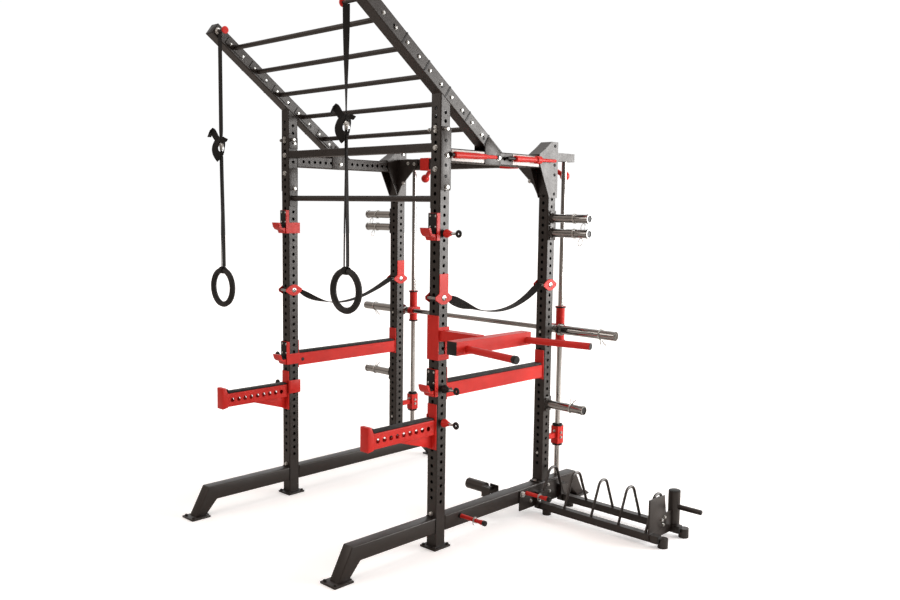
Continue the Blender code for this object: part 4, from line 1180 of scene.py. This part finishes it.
def weld(bm, points, closed=False):
    """A small rippled bead along a joint."""
    fine = []
    for a, b in zip(points, points[1:] + (points[:1] if closed else [])):
        a, b = Vector(a), Vector(b)
        steps = max(2, int((b - a).length / 0.004))
        fine += [a + (b - a) * k / steps for k in range(steps)]
    if not closed:
        fine.append(Vector(points[-1]))
    count = len(fine)
    loops = []
    for i, p in enumerate(fine):
        if closed:
            axis = fine[(i + 1) % count] - fine[i - 1]
        else:
            axis = fine[min(i + 1, count - 1)] - fine[max(i - 1, 0)]
        side = axis.normalized().orthogonal().normalized()
        other = axis.normalized().cross(side)
        r = 0.0026 + (0.0005 if i % 2 else 0.0)
        loops.append(ring(bm, p, side * r, other * r, 6))
    skin(bm, loops, closed, capped=False)


@made("rack_end_front", PLATE)
def rack_end(bm):
    """The broad front of the plate rack's end plate."""
    outline = [(0.7785, 0.07), (0.7785, 0.2395), (0.918, 0.2395), (0.938, 0.14), (0.938, 0.07)]
    prism(bm, outline, 1.3484, 1.3506, 0.0008)


@made("weld_beads", DARK, smooth=60.0)
def frame_welds(bm):
    for side in (1, -1):
        inner, outer = side * INNER, side * FACE
        z = FOOT + 0.0005
        weld(bm, [(inner, 0.0, z), (outer, 0.0, z), (outer, POST, z), (inner, POST, z)], True)
        weld(bm, [(inner, 0.0, RAIL[0]), (inner, 0.0, RAIL[1]), (outer, 0.0, RAIL[1]),
                  (outer, 0.0, RAIL[0])])
        weld(bm, [(inner, -0.5345, z), (outer, -0.5345, z)])
        z = RAIL[1] + 0.0066
        weld(bm, [(inner, REAR_Y, z), (outer, REAR_Y, z), (outer, REAR_Y + POST, z),
                  (inner, REAR_Y + POST, z)], True)
    for y in RACK_TUBES:
        weld(bm, [(FACE + 0.0066, y - 0.03, 0.12), (FACE + 0.0066, y + 0.03, 0.12)])


# ---- studio
def area(name, at, target, size, power, colour=(1.0, 1.0, 1.0)):
    data = bpy.data.lights.new(name, "AREA")
    data.shape = "RECTANGLE"
    data.size, data.size_y = size
    data.energy = power
    data.color = colour
    lamp = bpy.data.objects.new(name, data)
    at, target = Vector(at), Vector(target)
    lamp.location = at
    lamp.rotation_mode = "QUATERNION"
    lamp.rotation_quaternion = (target - at).to_track_quat("-Z", "Y")
    scene.collection.objects.link(lamp)


area("right_box", (3.75, 3.45, 1.85), (0.3, 0.2, 1.25), (3.6, 2.1), 250.0)
area("front_box", (-1.6, -4.2, 3.4), (0.0, 0.3, 1.3), (3.0, 2.0), 46.0, (1.0, 0.92, 0.87))
area("top_box", (0.0, 0.4, 4.8), (0.0, 0.3, 1.0), (3.0, 3.0), 40.0)

WHITE = (1.0, 1.0, 1.0)
WARM_ROOM = (0.4, 0.345, 0.31)
BACKDROP = 1.02
VIEW_TURN = radians(43.47)

# A white backdrop, and a dimmer, warmer room for the light that falls on the cage.
world = bpy.data.worlds.new("studio")
scene.world = world
world.use_nodes = True
sky = Graph(world.node_tree)
room = world.node_tree.nodes["Background"]
direction = sky.new("ShaderNodeTexCoord").outputs["Generated"]
facing = sky.new("ShaderNodeVectorMath", operation="DOT_PRODUCT")
facing.inputs[1].default_value = (-sin(VIEW_TURN), cos(VIEW_TURN), 0.0)
sky.link(direction, facing.inputs[0])
fade = sky.range(facing.outputs["Value"], 0.0, 1.0, 0.45, 0.82, interpolation_type="SMOOTHSTEP")
sky.link(sky.ramp(fade, [(0.0, WARM_ROOM), (1.0, WHITE)]), room.inputs["Color"])
split = sky.new("ShaderNodeSeparateXYZ")
sky.link(direction, split.inputs["Vector"])
dusk = sky.range(split.outputs["Z"], 0.62, 1.45, 0.1, 0.42, interpolation_type="SMOOTHSTEP")
blend = sky.new("ShaderNodeMix", B=BACKDROP)
sky.link(fade, blend.inputs["Factor"])
sky.link(dusk, blend.inputs["A"])
sky.link(blend.outputs["Result"], room.inputs["Strength"])
backdrop = sky.new("ShaderNodeBackground", Color=(*WHITE, 1.0), Strength=BACKDROP)
sky.by_ray(room.outputs[0], backdrop.outputs[0], world.node_tree.nodes["World Output"])

floor_mesh = bpy.data.meshes.new("floor")
floor_bm = bmesh.new()
bmesh.ops.create_grid(floor_bm, x_segments=1, y_segments=1, size=40.0)
floor_bm.to_mesh(floor_mesh)
floor_bm.free()
floor = bpy.data.objects.new("floor", floor_mesh)
floor.location = (0.0, 0.0, -0.0005)
scene.collection.objects.link(floor)
pale = Surface("pale_floor", (0.93, 0.93, 0.93), 0.9)
pale.colour(pale.ramp(pale.noise(2.0), [(0.3, (0.92, 0.92, 0.92)), (0.7, (0.94, 0.94, 0.94))]))
pale.shader.inputs["Emission Color"].default_value = (*WHITE, 1.0)
reach = pale.new("ShaderNodeVectorMath", operation="LENGTH")
pale.link(pale.coords, reach.inputs[0])
glow = pale.range(reach.outputs["Value"], 0.34, 0.8, 1.6, 5.0)
pale.link(glow, pale.shader.inputs["Emission Strength"])
dull = pale.new("ShaderNodeBsdfDiffuse", Color=(0.72, 0.69, 0.66, 1.0))
pale.by_ray(dull.outputs[0], pale.shader.outputs[0], pale.tree.nodes["Material Output"])
floor_mesh.materials.append(pale.mat)
scene.view_settings.view_transform = "Standard"
